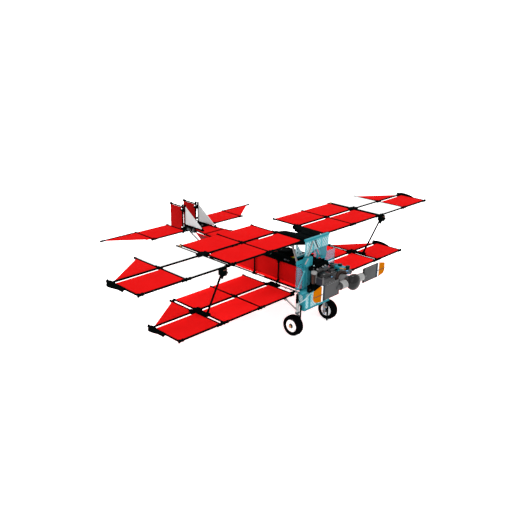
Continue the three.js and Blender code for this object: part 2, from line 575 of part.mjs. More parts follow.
const bladeDepth = [SHAFT.y - BLADE.half, SHAFT.y + BLADE.half];
const bladeFace = rectangle(BLADE.inner, BLADE.band - GAP, BLADE.low, BLADE.top);
for (const [sideName, side] of SIDES_LR) {
  const plate = (points) => frontPlate(points.map(([x, z]) => [side * x, SHAFT.z + z]), bladeDepth);
  const along = (from, to, radius) => rod([side * from, SHAFT.y, SHAFT.z], [side * to, SHAFT.y, SHAFT.z],
    radius, ROUND);
  const pin = along(BLADE.rootEnd + GAP, BLADE.inner + 8, BLADE.pin);
  node(`blade_root_${sideName}`, along(BLADE.root, BLADE.rootEnd, BLADE.rootRadius).subtract(spinnerHub(GAP)),
    LIGHT_GREY);
  node(`blade_${sideName}`, plate(bladeFace).add(pin), DARK_GREY);
  node(`blade_tip_${sideName}`, plate(BLADE.tip), ORANGE);
}

// Landing gear
for (const [sideName, side] of SIDES_LR) {
  const across = (inner, outer) => [side * inner, side * outer];
  const legY = [AXLE.y - LEG.depth, AXLE.y + LEG.depth];
  const braceRods = [-BRACE.spread, BRACE.spread].map((shift) => rod(
    [side * BRACE.inner, BRACE.y + shift, BRACE.low],
    [side * BRACE.outer, LOWER.lead + shift, BRACE.top], BRACE.radius));
  node(`gear_leg_${sideName}`, join([
    block(across(LEG.beamInner, ROOT_STUB.x), [LEG.beamFront, LEG.beamRear], [LEG.beamLow, FLOOR.low]),
    block(across(LEG.beamInner, LEG.outer), [LEG.beamFront, LEG.outriggerRear], [LEG.beamLow, FLOOR.low]),
    block(across(LEG.neckInner, LEG.neckOuter), legY, [LEG.neck - 1, FLOOR.low - 1]),
    block(across(LEG.inner, LEG.outer), legY, [LEG.foot, LEG.neck]),
    rod([side * (LEG.inner + 1), AXLE.y, AXLE.z], [side * (TYRE.outer + 1.5), AXLE.y, AXLE.z], AXLE.radius),
    rod([side * GUARD.x, GUARD.y, GUARD.top], [side * GUARD.x, GUARD.y, GUARD.low], GUARD.radius),
    ...GUARD.holders.map((heights) => block(across(LEG.inner + 1, GUARD.x), [GUARD.y - 1, AXLE.y - 1], heights)),
    ...braceRods,
    block(across(BRACE.outer - BRACE.end, BRACE.outer + BRACE.end), [LOWER.lead - BRACE.end, LOWER.lead + BRACE.end],
      [BRACE.top - 1.5, BRACE.top + 2]),
  ]).subtract(wingFrame(LOWER, side, GAP)), LIGHT_GREY);
}

// Tyre and hub profiles, one side as [radius, distance from the wheel's middle]
const closedRing = (half) => {
  const back = half.map(([r, out]) => [r, -out]);
  return [...back, ...half.toReversed(), back[0]];
};
const boreR = AXLE.radius + GAP;
const tyreProfile = closedRing([[TYRE.rim, 7], [16.5, 8.8], [19.5, 7.9], [TYRE.radius, 4.6]]);
const hubProfile = closedRing([
  [boreR, 6.8], [5.2, 6.8], [5.8, 4.6], [10, 4.6], [11, 6.8], [TYRE.rim - GAP, 6.8],
]);
for (const [sideName, side] of SIDES_LR) {
  const wheelX = side * (TYRE.inner + TYRE.outer) / 2;
  const turned = (profile) => toSolid(lathe(profile, 24).rotateZ(Math.PI / 2).translate(wheelX, AXLE.y, AXLE.z));
  node(`tyre_${sideName}`, turned(tyreProfile), RUBBER);
  node(`hub_${sideName}`, turned(hubProfile), WHITE);
}

// The parked attitude: the line from the tyres to the skid foot lies on the ground
const run = SKID.y - AXLE.y;
const rise = SKID.z - AXLE.z;
const pitch = Math.atan2(rise, run) + Math.asin(TYRE.radius / Math.hypot(run, rise));

// Tail skid: a leg from the tail struts down to a flat foot that lies on the ground
const strutSlope = (STRUT_END.z - BOTTOM_Z) / (STRUT_END.y - POSTS.at(-1));
const strutZ = BOTTOM_Z + strutSlope * (SKID.crossY - POSTS.at(-1));
const skidBarZ = strutZ - 2 * ROD - GAP - 0.8;
node('tail_skid', join([
  toSolid(new THREE.BoxGeometry(SKID.width, SKID.length, SKID.thickness)
    .translate(0, 0, SKID.thickness / 2).rotateX(pitch).translate(0, SKID.y, SKID.z)),
  rod([0, SKID.y - 1, SKID.z + 3], [0, SKID.crossY, strutZ + 1], SKID.radius),
  rod([-TAIL_X - 4, SKID.crossY, skidBarZ], [TAIL_X + 4, SKID.crossY, skidBarZ], ROD),
]).subtract(longerons(GAP)), BLACK);

// Elevator: one axle in the tail lugs carries both halves
function elevatorFrame(grow = 0) {
  const { z, hinge, rear, inner, boundary, tip } = ELEVATOR;
  const parts = [rod([-boundary - 2, hinge, z], [boundary + 2, hinge, z], ROD + grow)];
  for (const side of [1, -1]) {
    const at = (x, y) => [side * x, y, z];
    for (const x of [inner, boundary]) {
      parts.push(rod(at(x, hinge), at(x, rear + 2), ROD + grow));
      parts.push(rod(at(x - 6, hinge), at(x + 6, hinge), COLLAR + grow));
      parts.push(rod(at(x, rear - 4), at(x, rear + 2.5), COLLAR + grow));
    }
    parts.push(rod(at(boundary, rear), at(tip, rear), ROD + grow));
    parts.push(rod(at(tip - 5, rear), at(tip + 1, rear), COLLAR + grow));
  }
  return join(parts);
}

node('elevator_frame', elevatorFrame(), BLACK);
const elevatorCutter = elevatorFrame(GAP);
for (const [sideName, side] of SIDES_LR) {
  const { z, hinge, rear, inner, boundary, tip } = ELEVATOR;
  const faces = [rectangle(inner, boundary, hinge, rear), [[boundary, hinge + 2], [tip, rear], [boundary, rear]]];
  const clips = [hinge + 22, rear - 14].map((y) => acrossRod(boundary, y));
  node(`elevator_panels_${sideName}`, panelSet(z, side, faces, clips, elevatorCutter), RED);
}

// Fins and rudders
function rudderFrame(x, grow = 0) {
  const { hinge, rear, top, low } = RUDDER;
  const rodZ = top - ROD;
  return join([
    rod([x, hinge, low - 2], [x, hinge, top + 4], ROD + grow),
    rod([x, hinge, rodZ], [x, rear, rodZ], ROD + grow),
    rod([x, rear - 5, rodZ], [x, rear + 1, rodZ], COLLAR + grow),
  ]);
}

for (const [sideName, side] of SIDES_LR) {
  const x = side * FIN.x;
  const sheet = [x - SHEET / 2, x + SHEET / 2];
  const finRear = FIN.rear - ROD - GAP;
  const finFace = [[FIN.front + 2, FIN.base], [finRear, FIN.base], [finRear, FIN.top]];
  node(`fin_${sideName}`, sidePlate(finFace, sheet).subtract(tailFrame(GAP)), PALE_GREY);

  const { hinge, rear, low, top, lugs } = RUDDER;
  const lugClear = join(lugs.map((z) => block([x - 5, x + 5], [hinge - 5, hinge + 5.5], [z - 3.2, z + 3.2])));
  const face = rectangle(hinge, rear, low, top - ROD);
  node(`rudder_${sideName}`, sidePlate(face, sheet).subtract(lugClear).subtract(rudderFrame(x, GAP)), RED);
  node(`rudder_frame_${sideName}`, rudderFrame(x), BLACK);
}

// Pitch the airframe onto its wheels and skid, ground at z = 0 and the middle of its box over the origin
airframe.rotation.x = -pitch;
airframe.position.z = TYRE.radius - (AXLE.z * Math.cos(pitch) - AXLE.y * Math.sin(pitch));
airframe.updateMatrixWorld(true);
const reach = new THREE.Box3().setFromObject(airframe, true);
airframe.position.y -= (reach.min.y + reach.max.y) / 2;

const biplane = new THREE.Group();
biplane.add(airframe);
export default biplane;
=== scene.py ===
"""Looks of the toy biplane: rounded rods, crowned panels, clear screens and engine details on the frame."""
import json
from math import asin, copysign, cos, pi, radians, sin

import bmesh
import bpy
from mathutils import Matrix, Vector


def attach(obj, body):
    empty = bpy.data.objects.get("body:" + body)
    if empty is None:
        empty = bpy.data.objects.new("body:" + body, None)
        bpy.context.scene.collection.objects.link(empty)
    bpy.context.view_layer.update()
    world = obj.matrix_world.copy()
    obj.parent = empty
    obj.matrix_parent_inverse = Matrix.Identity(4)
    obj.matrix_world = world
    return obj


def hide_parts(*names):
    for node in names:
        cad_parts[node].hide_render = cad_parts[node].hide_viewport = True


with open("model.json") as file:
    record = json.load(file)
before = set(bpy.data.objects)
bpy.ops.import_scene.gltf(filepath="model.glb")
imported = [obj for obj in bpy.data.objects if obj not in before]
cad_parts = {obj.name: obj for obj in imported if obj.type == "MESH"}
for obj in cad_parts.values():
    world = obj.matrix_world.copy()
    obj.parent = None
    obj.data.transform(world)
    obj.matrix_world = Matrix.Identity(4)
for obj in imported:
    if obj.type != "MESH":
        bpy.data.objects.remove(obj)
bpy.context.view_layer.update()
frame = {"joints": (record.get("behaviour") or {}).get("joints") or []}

# The level frame: millimetres, nose towards -Y, z = 0 in the upper wing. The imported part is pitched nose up.
spin = next(j for j in frame["joints"] if j["name"] == "propeller_spin")
PROP_Y, AXIS_Z = -166, -65
SHAFT = Vector((0, PROP_Y, AXIS_Z))
PITCH = asin(spin["axis"][2])
TURN = Matrix.Rotation(-PITCH, 4, "X")
LEVEL = Matrix.Translation(Vector(spin["pos_m"]) - TURN @ SHAFT * 0.001) @ TURN @ Matrix.Scale(0.001, 4)


def add_object(name, data):
    made = bpy.data.objects.new(name, data)
    bpy.context.collection.objects.link(made)
    return made


# Camera at the photograph's angle
YAW, TILT, ROLL = (radians(a) for a in (-46.189, 19.777, 1.078))
FOCAL_PX, IMAGE_PX, SENSOR = 636.85, 512, 36
SHIFT_X, SHIFT_Y, DISTANCE = 62.33, 54.64, 1293.52
back = Vector((sin(YAW) * cos(TILT), -cos(YAW) * cos(TILT), sin(TILT)))
flat_right = Vector((0, 0, 1)).cross(back).normalized()
flat_up = back.cross(flat_right)
right = flat_right * cos(ROLL) + flat_up * sin(ROLL)
up = flat_up * cos(ROLL) - flat_right * sin(ROLL)
eye = back * DISTANCE - right * SHIFT_X - up * SHIFT_Y
lens = bpy.data.cameras.new("camera")
lens.sensor_width = SENSOR
lens.lens = FOCAL_PX * SENSOR / IMAGE_PX
lens.clip_start = 0.05
camera = add_object("camera", lens)
camera.matrix_world = (Matrix.Translation(LEVEL @ eye) @ TURN
                       @ Matrix((right, up, back)).transposed().to_4x4())
bpy.context.scene.camera = camera
bpy.context.scene.view_settings.view_transform = "Standard"


def put(node, values):
    for socket, value in values.items():
        node.inputs[socket].default_value = value
    return node


def linear(colour):
    return tuple(((c / 255 + 0.055) / 1.055) ** 2.4 if c > 10 else c / 255 / 12.92 for c in colour)


# Materials: each has colour drift, roughness drift and a moulded or worn surface in bump
def material(name, rgb, rough=0.35, shine=0.3, grain=1400, depth=0.12, drift=0.08, coat=0, clear=0,
             scuff=0.05):
    mat = bpy.data.materials.new(name)
    mat.use_nodes = True
    nodes, link = mat.node_tree.nodes, mat.node_tree.links.new
    shader = nodes["Principled BSDF"]
    put(shader, {"Specular IOR Level": shine, "Coat Weight": coat, "Coat Roughness": 0.12,
                 "Alpha": 1 - clear})
    place = nodes.new("ShaderNodeTexCoord")

    def noise(scale, detail, stretch=None):
        texture = put(nodes.new("ShaderNodeTexNoise"), {"Scale": scale, "Detail": detail})
        source = place.outputs["Object"]
        if stretch:
            mapping = put(nodes.new("ShaderNodeMapping"), {"Scale": stretch})
            link(source, mapping.inputs["Vector"])
            source = mapping.outputs["Vector"]
        link(source, texture.inputs["Vector"])
        return texture.outputs["Fac"]

    def remap(value, low, high):
        node = nodes.new("ShaderNodeMapRange")
        put(node, {"From Min": 0.3, "From Max": 0.7, "To Min": low, "To Max": high})
        link(value, node.inputs["Value"])
        return node.outputs["Result"]

    colour = linear(rgb)
    mix = nodes.new("ShaderNodeMix")
    mix.data_type = "RGBA"
    put(mix, {"A": (*(c * (1 - drift) for c in colour), 1),
              "B": (*(min(1, c * (1 + drift) + drift * 0.01) for c in colour), 1)})
    link(remap(noise(22, 3), 0, 1), mix.inputs["Factor"])
    link(mix.outputs["Result"], shader.inputs["Base Color"])
    scratches = noise(240, 4, (1, 0.15, 1))
    wear = nodes.new("ShaderNodeMath")
    wear.operation = "ADD"
    link(remap(noise(70, 4), rough - scuff, rough + scuff), wear.inputs[0])
    link(remap(scratches, -scuff / 2, scuff / 2), wear.inputs[1])
    link(wear.outputs[0], shader.inputs["Roughness"])
    bump = put(nodes.new("ShaderNodeBump"), {"Strength": depth, "Distance": 0.0002})
    link(noise(grain, 5), bump.inputs["Height"])
    link(bump.outputs["Normal"], shader.inputs["Normal"])
    return mat


MATT = dict(rough=0.5, grain=900, depth=0.06)
PANEL = dict(MATT, drift=0.03, shine=0.001)
CHALK = dict(rough=0.4, grain=900, depth=0.05, drift=0.02, shine=0.1)
POLISH = dict(depth=0.04, scuff=0.02, shine=0.02)
PANE = dict(scuff=0.02, shine=0.05)
RED = material("red_panel", (184, 14, 14), **MATT, drift=0.04, shine=0.001)
# Lighter copy of the red for the lower wing's inner bays: painted light that evens out the shade under the
# upper wing
LOWER_RED_PAINTED_LIGHT = material("lower_red_panel_painted_light", (232, 26, 26), **PANEL)
# Copy of the red for the lower wing's tips, lighter than the upper wing's red: painted light matched to how
# the tips are lit
TIP_RED_PAINTED_LIGHT = material("tip_red_panel_painted_light", (210, 20, 20), **PANEL)
# Brightest copy of the red for the sloped ledge along the fuselage's lower edge: a painted highlight
LEDGE_RED_PAINTED_HIGHLIGHT = material("ledge_red_painted_highlight", (252, 22, 22), **PANEL)
# Darker copy of the red for the fuselage sides and deck: painted shade
RED_PAINTED_SHADE = material("red_skin_painted_shade", (174, 14, 14), **MATT, shine=0.002)
# Darkest copy of the red for the rudders: painted shade
RUDDER_RED_PAINTED_SHADE = material("rudder_red_painted_shade", (146, 12, 12), **MATT, shine=0.002)
BLACK = material("black_plastic", (2, 5, 5), 0.45, 0.0005, 1600)
WHITE = material("white_panel", (212, 212, 211), **CHALK)
# Brighter copy of the white for the hubs: painted light against the shade and red bounce that tint them
HUB_WHITE_PAINTED_LIGHT = material("hub_white_painted_light", (246, 250, 252), **CHALK)
PALE = material("pale_grey_sheet", (180, 184, 184), 0.42, 0.1, 900, 0.06, 0.03)
LIGHT = material("light_grey_plastic", (130, 130, 130), 0.36, 0.1)
GREY = material("dark_grey_plastic", (62, 62, 63), 0.34, 0.05)
MID = material("mid_grey_plastic", (88, 88, 89), 0.34, 0.08)
# Dark slate grey: plastic for small blade parts, and painted shade on the engine block's side
SLATE_AND_SHADE = material("slate_plastic_and_painted_shade", (36, 40, 46), 0.34, 0.05)
STEEL = material("blue_grey_plastic", (70, 80, 86), 0.34, 0.08)
DOME_GREY = material("smooth_dark_grey", (18, 18, 19), 0.16, **POLISH, coat=0.45)
GLOSS = material("gloss_dark_grey", (14, 14, 15), 0.1, **POLISH, coat=0.32)
TEAL = material("teal_plastic", (36, 118, 130), 0.3, 0.03, drift=0.06)
# Lighter copy of the teal on lit faces: painted light
TEAL_PAINTED_LIGHT = material("teal_painted_light", (54, 130, 144), 0.3, 0.04, drift=0.06)
AQUA = material("light_teal_plastic", (78, 152, 162), 0.28, 0.1)
ICE = material("ice_blue_lattice", (160, 190, 196), 0.22, 0.1, drift=0.06)
GLASS = material("clear_blue_sheet", (40, 150, 170), 0.12, depth=0.02, clear=0.65, **PANE)
MIST = material("misty_blue_sheet", (196, 230, 238), 0.2, depth=0.04, clear=0.1, **PANE)
TINT = material("clear_teal_sheet", (56, 124, 138), 0.12, depth=0.02, clear=0.15, **PANE)
ORANGE = material("orange_plastic", (156, 86, 0), shine=0.001)
TAN = material("tan_plastic", (180, 140, 92), 0.4)
BLUE = material("blue_pin", (92, 138, 176))
NAVY = material("navy_band", (2, 30, 46), 0.3, 0.04)
OLIVE = material("olive_plastic", (128, 128, 12), 0.42, 0.05)
BROWN = material("dark_brown_plastic", (34, 22, 20), 0.22, 0.12)
RUST = material("reddish_brown_plastic", (84, 50, 40), 0.4, 0.04)
UMBER = material("umber_plastic", (44, 34, 32), 0.34, 0.04)
FOREST = material("dark_green_knob", (2, 38, 34), 0.3, 0.04)
RUBBER = material("black_rubber", (3, 3, 4), 0.7, 0.0005, 2400, 0.3, scuff=0.08)
MAROON = material("maroon_plastic", (96, 10, 14), 0.4, 0.08)


# Outline helpers in two dimensions
def corners(points):
    """Each point with its neighbours before and after"""
    points = [Vector(p) for p in points]
    return zip(points[-1:] + points[:-1], points, points[1:] + points[:1])


def winding(points):
    """1 for a run counter-clockwise, else -1"""
    return 1 if sum(a.cross(b) for _, a, b in corners(points)) > 0 else -1


def cut_corners(points, size):
    result = []
    for before, here, after in corners(points):
        for other in (before, after):
            edge = other - here
            result.append(here + edge.normalized() * min(size, edge.length * 0.4))
    return result


def inset(points, size):
    sense = winding(points)
    result = []
    for before, here, after in corners(points):
        edges = (here - before).normalized(), (after - here).normalized()
        normal_1, normal_2 = (Vector((-edge.y, edge.x)) * sense for edge in edges)
        middle = normal_1 + normal_2
        result.append(here + middle * (size / max(0.3, middle.dot(normal_1))))
    return result


def mirrored(run, middle=0):
    """A run of (distance, radius) and its mirror image about a middle distance"""
    return [*run, *((2 * middle - h, r) for h, r in reversed(run))]


def rectangle(x0, x1, y0, y1):
    return [(x0, y0), (x1, y0), (x1, y1), (x0, y1)]


def smooth_path(points, steps):
    """A rounded run through the points"""
    ends = [points[0] * 2 - points[1], *points, points[-1] * 2 - points[-2]]
    run = []
    for p0, p1, p2, p3 in zip(ends, ends[1:], ends[2:], ends[3:]):
        for k in range(steps):
            t = k / steps
            run.append(0.5 * (2 * p1 + (p2 - p0) * t + (2 * p0 - 5 * p1 + 4 * p2 - p3) * t * t
                              + (3 * p1 - p0 - 3 * p2 + p3) * t ** 3))
    return [*run, points[-1]]


def spot(axis, a, b, level):
    """The point at a and b in the plane across an axis, at a level along it"""
    return {"x": (level, a, b), "y": (a, level, b), "z": (a, b, level)}[axis]


UP, OUT, AHEAD = (0, 0, 1), (1, 0, 0), (0, -1, 0)
SIDES = {"left": 1, "right": -1}


class Piece:
    """Solids added in level millimetres, in the piece's material unless one is named, made into one object.

    A piece for a hand is written for the left and mirrored for the right.
    """

    def __init__(self, name, mat=BLACK, hand=None, body="airframe"):
        self.ending = f"_{hand}" if hand else ""
        self.name, self.mat, self.body = name + self.ending, mat, body
        self.side = SIDES.get(hand, 1)
        self.points, self.faces, self.paint, self.mats = [], [], [], []

    def both(self):
        """Runs a loop's body for the left and again mirrored for the right"""
        for self.side in SIDES.values():
            yield
        self.side = 1

    def placed(self, point):
        return Vector((self.side * point[0], point[1], point[2]))

    def skin(self, rings, caps=True, loop=False, mat=None):
        mat = self.mat if mat is None else mat
        if mat not in self.mats:
            self.mats.append(mat)
        index, start, count = self.mats.index(mat), len(self.points), len(rings[0])
        for ring in rings:
            self.points.extend(Vector(p) for p in ring)
        faces = []
        for i in range(len(rings) if loop else len(rings) - 1):
            a, b = start + i * count, start + (i + 1) % len(rings) * count
            faces += [(a + k, a + (k + 1) % count, b + (k + 1) % count, b + k) for k in range(count)]
        if caps and not loop:
            faces.append(tuple(start + k for k in reversed(range(count))))
            faces.append(tuple(start + (len(rings) - 1) * count + k for k in range(count)))
        self.faces += faces
        self.paint += [index] * len(faces)

    def turned(self, profile, start, along, sides=12, loop=False, mat=None):
        """A profile of (distance along, radius) turned about the line from start towards along"""
        start, axis = self.placed(start), self.placed(along).normalized()
        side = axis.orthogonal().normalized()
        other = axis.cross(side)
        circle = [side * cos(a) + other * sin(a)
                  for a in (2 * pi * (k + 0.5) / sides for k in range(sides))]
        self.skin([[start + axis * h + c * r for c in circle] for h, r in profile], loop=loop, mat=mat)

    def rod(self, a, b, radius, sides=10, mat=None):
        along = Vector(b) - Vector(a)
        length = along.length
        c = min(0.35, radius * 0.4, length * 0.3)
        self.turned(mirrored([(0, radius - c), (c, radius)], length / 2), a, along, sides, mat=mat)

    def sleeve(self, a, b, radius, mat=None):
        """A collar with a lip at both ends and a groove between"""
        along = Vector(b) - Vector(a)
        length = along.length
        lip = min(1.6, length * 0.2)
        rim = [(0, radius - 0.3), (0.3, radius), (lip, radius), (lip + 0.3, radius - 0.45)]
        self.turned(mirrored(rim, length / 2), a, along, mat=mat)

    def pin(self, start, along, radius, height, tip, sides=12, rise=0.4, mat=None):
        """A round pin, straight to its height and then drawn in to the tip's radius"""
        self.turned([(0, radius), (height, radius), (height + rise, tip)], start, along, sides, mat=mat)

    def stub(self, middle, along, radius, half, sides=10, end=None, edge=0.4, mat=None):
        """A short pin with both ends drawn in, centred on its middle"""
        profile = mirrored([(-half, end or radius * 0.8), (edge - half, radius)])
        self.turned(profile, middle, along, sides, mat=mat)

    def hose(self, points, radius, sides=8, steps=6, mat=None):
        run = smooth_path([self.placed(p) for p in points], steps)
        side = (run[1] - run[0]).orthogonal().normalized()
        rings = []
        for i, p in enumerate(run):
            axis = (run[min(i + 1, len(run) - 1)] - run[max(i - 1, 0)]).normalized()
            side = (side - axis * side.dot(axis)).normalized()
            other = axis.cross(side)
            r = radius(i / (len(run) - 1)) if callable(radius) else radius
            rings.append([p + (side * cos(t) + other * sin(t)) * r
                          for t in (2 * pi * k / sides for k in range(sides))])
        self.skin(rings, mat=mat)

    def prism(self, outline, axis, low, high, bevel=0.4, corner=0, mat=None):
        if axis == "x":
            low, high = self.side * low, self.side * high
        else:
            outline = [(self.side * p[0], p[1]) for p in outline]
        low, high = sorted((low, high))
        if corner:
            outline = cut_corners(outline, corner)
        bevel = min(bevel, (high - low) * 0.4)
        inner = inset(outline, bevel)
        levels = ((inner, low), (outline, low + bevel), (outline, high - bevel), (inner, high))
        self.skin([[spot(axis, *p, level) for p in points] for points, level in levels], mat=mat)

    def block(self, x0, x1, y0, y1, z0, z1, bevel=0.4, corner=0.5, mat=None):
        self.prism(rectangle(x0, x1, y0, y1), "z", z0, z1, bevel, corner, mat)

    def sheet(self, us, vs, level, axis="z", crown=0.6, mat=None):
        """A thin rectangular panel, crowned on the side that crown's sign names"""
        cells, half = 6, 0.8
        if axis == "x":
            level, crown = self.side * level, self.side * crown
        else:
            us = [self.side * u for u in us]
        (u0, u1), (v0, v1) = sorted(us), sorted(vs)
        face = copysign(half, crown)
        edge = copysign(0.3, crown)

        def at(i, k, shrink, height):
            u, v = i / cells * 2 - 1, k / cells * 2 - 1
            rise = crown * (1 - u ** 4) * (1 - v ** 4) * (shrink > 0 and height == face)
            return spot(axis, (u0 + u1) / 2 + u * ((u1 - u0) / 2 - shrink),
                        (v0 + v1) / 2 + v * ((v1 - v0) / 2 - shrink), level + height + rise)

        steps = range(cells)
        rim = [(i, 0) for i in steps] + [(cells, k) for k in steps]
        rim += [(cells - i, cells) for i in steps] + [(0, cells - k) for k in steps]
        levels = ((0.3, -face), (0, edge - face), (0, face - edge), (0.3, face))
        self.skin([[at(i, k, shrink, height) for i, k in rim] for shrink, height in levels], False, mat=mat)
        count = len(rim)
        start = len(self.points) - count
        self.faces.append(tuple(start - 3 * count + k for k in range(count)))
        where = {spot: start + n for n, spot in enumerate(rim)}
        for i in range(1, cells):
            for k in range(1, cells):
                where[i, k] = len(self.points)
                self.points.append(Vector(at(i, k, 0.3, face)))
        self.faces += [(where[i, k], where[i + 1, k], where[i + 1, k + 1], where[i, k + 1])
                       for i in steps for k in steps]
        self.paint += self.paint[-1:] * (cells * cells + 1)

    def done(self, node, slot="plastic_black"):
        mesh = bpy.data.meshes.new(self.name)
        mesh.from_pydata([tuple(LEVEL @ p) for p in self.points], [], self.faces)
        for mat in self.mats:
            mesh.materials.append(mat)
        mesh.polygons.foreach_set("material_index", self.paint)
        work = bmesh.new()
        work.from_mesh(mesh)
        bmesh.ops.recalc_face_normals(work, faces=work.faces)
        work.to_mesh(mesh)
        work.free()
        mesh.shade_smooth()
        mesh.set_sharp_from_angle(angle=radians(38))
        made = add_object(self.name, mesh)
        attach(made, self.body)
        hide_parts(node + self.ending)


# Stock and places, in level millimetres, as in the solids; rods and sleeves are drawn a little slimmer
ROD, COLLAR, SLEEVE, ROOM = 1.5, 2.5, 2.9, 2.5
# A wing: height, spar, leading rod, rear ends of rods and of panels, columns of the inner and outer section
UPPER = (0, 0, -72, 69, 66, (33.8, 128, 222), (230, 324.5, 419))
LOWER = (-108.4, 6.5, -66.7, 75.5, 72.5, (49.5, 141, 235.5), (244, 338.5))
STRIP = 8
TIP_EDGE = [(-1, 8), (2.5, 8), (9.5, 0), (8, -7), (4.5, -20), (2, -36), (-1, -34)]
TIP_HUMP = [(2, 8, 0), (4.5, 0, 2.6), (4.5, -12, 3.4), (3, -26, 2.4), (1, -38, 0.4)]


# Wing frames: rods with sleeves, doubled between the inner and outer section, and a fairing at the tip
def wing_frame(wing, label, hand):
    p = Piece(f"{label}_wing_rods", BLACK, hand)
    z, spar, lead, rear, _, inner, outer = wing
    tip = outer[-1]
    for columns in (inner, outer):
        first, last = columns[0], columns[-1]
        for row in (spar, lead):
            p.rod((first, row, z), (last, row, z), ROD + 0.3)
        for x in columns:
            end = spar + 4.5 if x == tip else rear
            p.rod((x, end, z), (x, lead - 2, z), ROD)
            p.sleeve((x, spar - 9, z), (x, end if x == tip else spar + 9, z), SLEEVE)
            p.sleeve((max(x - 9, first - 1), lead, z), (min(x + 9, last + 1), lead, z), SLEEVE)
            if x != tip:
                p.sleeve((x, rear - 6, z), (x, rear, z), COLLAR)
            for row in (spar, lead):
                p.turned([(-3.2, 1.2), (-2.9, 1.7), (3.1, 1.7), (3.5, 1.2)], (x, row, z), UP, 8)
    a, b = inner[-1] - 8, outer[0] + 8
    p.block(a + 10, b - 10, rear - 7, rear - 2, z - 1.5, z + 2, 0.5, 0.8, TAN if wing is UPPER else BLACK)
    p.block(a, b, spar - 7, spar + 7, z - SLEEVE, z + SLEEVE, 0.6, 1.5)
    p.sleeve((a, lead, z), (b, lead, z), SLEEVE)
    for x in (a + 3.5, b - 3.5):
        for y in (spar - 3.6, spar + 3.6):
            p.pin((x, y, z + 2), UP, 1.9, 1.6, 1.4, 8)
    fairing = [(tip + out, spar + y) for out, y in TIP_EDGE]
    p.prism(fairing, "z", z - 6, z + 2.5, 2.6, 1.2)
    p.hose([(tip + out, spar + y, z + rise) for out, y, rise in TIP_HUMP], 2.3, 10)
    p.prism(inset(fairing, 1.6), "z", z + 2, z + 3.2, 0.6, 1)
    p.pin((tip + 3, spar + 5.4, z + 2.4), UP, 2.2, 1.6, 1.6, rise=0.6)
    if wing is LOWER:
        root = inner[0]
        for y in (spar, lead + 8):
            p.sleeve((37.3, y, z), (root + 1, y, z), 2.6)
        p.block(33, root, -19, 8.5, -111, -106.5, 0.6, 1.2)
        for x, y in ((37, -14), (45, -14), (37, -4), (45, -4)):
            p.turned([(0, 2.2), (0.5, 2.2), (0.5, 1.5), (0.2, 1.4)], (x, y, -106.5), UP)
    p.done(f"{label}_wing_frame")


# Wing panels: one crowned sheet a bay, seated between the rods, with clips under the rods
def quarters(a, b):
    return a + (b - a) * 0.25, a + (b - a) * 0.75


def spar_hooks(p, x0, x1, spar, z):
    """Hooks on both sides of the spar, at the quarters of a bay"""
    for x in quarters(x0, x1):
        for ys in ((spar - 13, spar - 10), (spar + 3.5, spar + 7)):
            p.block(x - 4, x + 4, *ys, z - 3, z - 0.6)


def rod_clips(p, x, ys, z):
    """Clips under the rod at x that join the panels on both its sides"""
    for y in ys:
        p.block(x - 7, x + 7, y - 4, y + 4, z - 5, z - 2.7)
        for out in (-1, 1):
            p.block(x + out * 3.4, x + out * 7, y - 4, y + 4, z - 3, z - 0.6)


def three_sided(p, outline, z, margin):
    """A flat panel with three sides and a raised field"""
    p.prism(outline, "z", z - 0.8, z + 0.8, 0.3, 1)
    p.prism(inset(outline, margin), "z", z + 0.5, z + 1.3, 0.35, 2)


def wing_panels(wing, label, hand):
    z, spar, lead, _, rear, inner, outer = wing
    rows = ((lead + ROOM, spar - STRIP), (spar + ROOM, rear))

    def bays(colour, columns, mat):
        p = Piece(f"{label}_{colour}_sheets", mat, hand)
        for x0, x1 in zip(columns, columns[1:]):
            for ys in rows:
                p.sheet((x0 + ROOM, x1 - ROOM), ys, z)
            spar_hooks(p, x0, x1, spar, z)
        for x in columns[1:-1]:
            for ys in rows:
                rod_clips(p, x, quarters(*ys), z)
        p.done(f"{label}_panels_{colour}", f"plastic_{colour}")

    # The lower wing's bays take the lighter copy of the red, painted light against the upper wing's shade
    bays("red", inner, LOWER_RED_PAINTED_LIGHT if wing is LOWER else RED)
    if wing is UPPER:
        bays("white", outer[:2], WHITE)
    x0, x1 = outer[-2:]
    # The lower tips take their own lit copy of the red: painted light
    p = Piece(f"{label}_tip_sheets", RED if wing is UPPER else TIP_RED_PAINTED_LIGHT, hand)
    p.sheet((x0 + ROOM, x1 - ROOM), rows[0], z)
    slope = (x1 - x0) / (rear - spar)
    three_sided(p, [(x0 + ROOM, spar + ROOM), (x1 - ROOM * slope - 4, spar + ROOM),
                    (x0 + ROOM, rear - ROOM / slope - 3)], z, 5)
    spar_hooks(p, x0, x1 - 20, spar, z)
    p.done(f"{label}_panels_tip", "plastic_red")


for hand in SIDES:
    for wing, label in ((UPPER, "upper"), (LOWER, "lower")):
        wing_frame(wing, label, hand)
        wing_panels(wing, label, hand)

# Interplane struts
for hand in SIDES:
    p = Piece("strut_assembly", BLACK, hand)
    x = 241
    p.block(x - 5.6, x + 5.6, -75, -61, -15.6, -2.6, 0.8, 2)
    p.block(x - 5, x + 5, -75.6, -74.6, -5, -3.6, 0.2, mat=RUST)
    p.pin((x + 3 * p.side, -75, -10), AHEAD, 2.2, 1.2, 1.6, 10, mat=BROWN)
    p.sleeve((x, -69, -13.5), (x, -65.6, -22), 2.8)
    p.rod((x, -67, -9.5), (x, -27, -102.6), 1.9, 12)
    p.sleeve((x, -30, -96), (x, -27.4, -101.6), 2.6)
    p.block(x - 5, x + 5, -33, -21, -105.8, -101.4, 0.7, 1.6)
    p.block(x - 5.5, x + 5.5, -24, 6, -106.4, -103.6, 0.6, 1.2)
    p.done("interplane_strut")

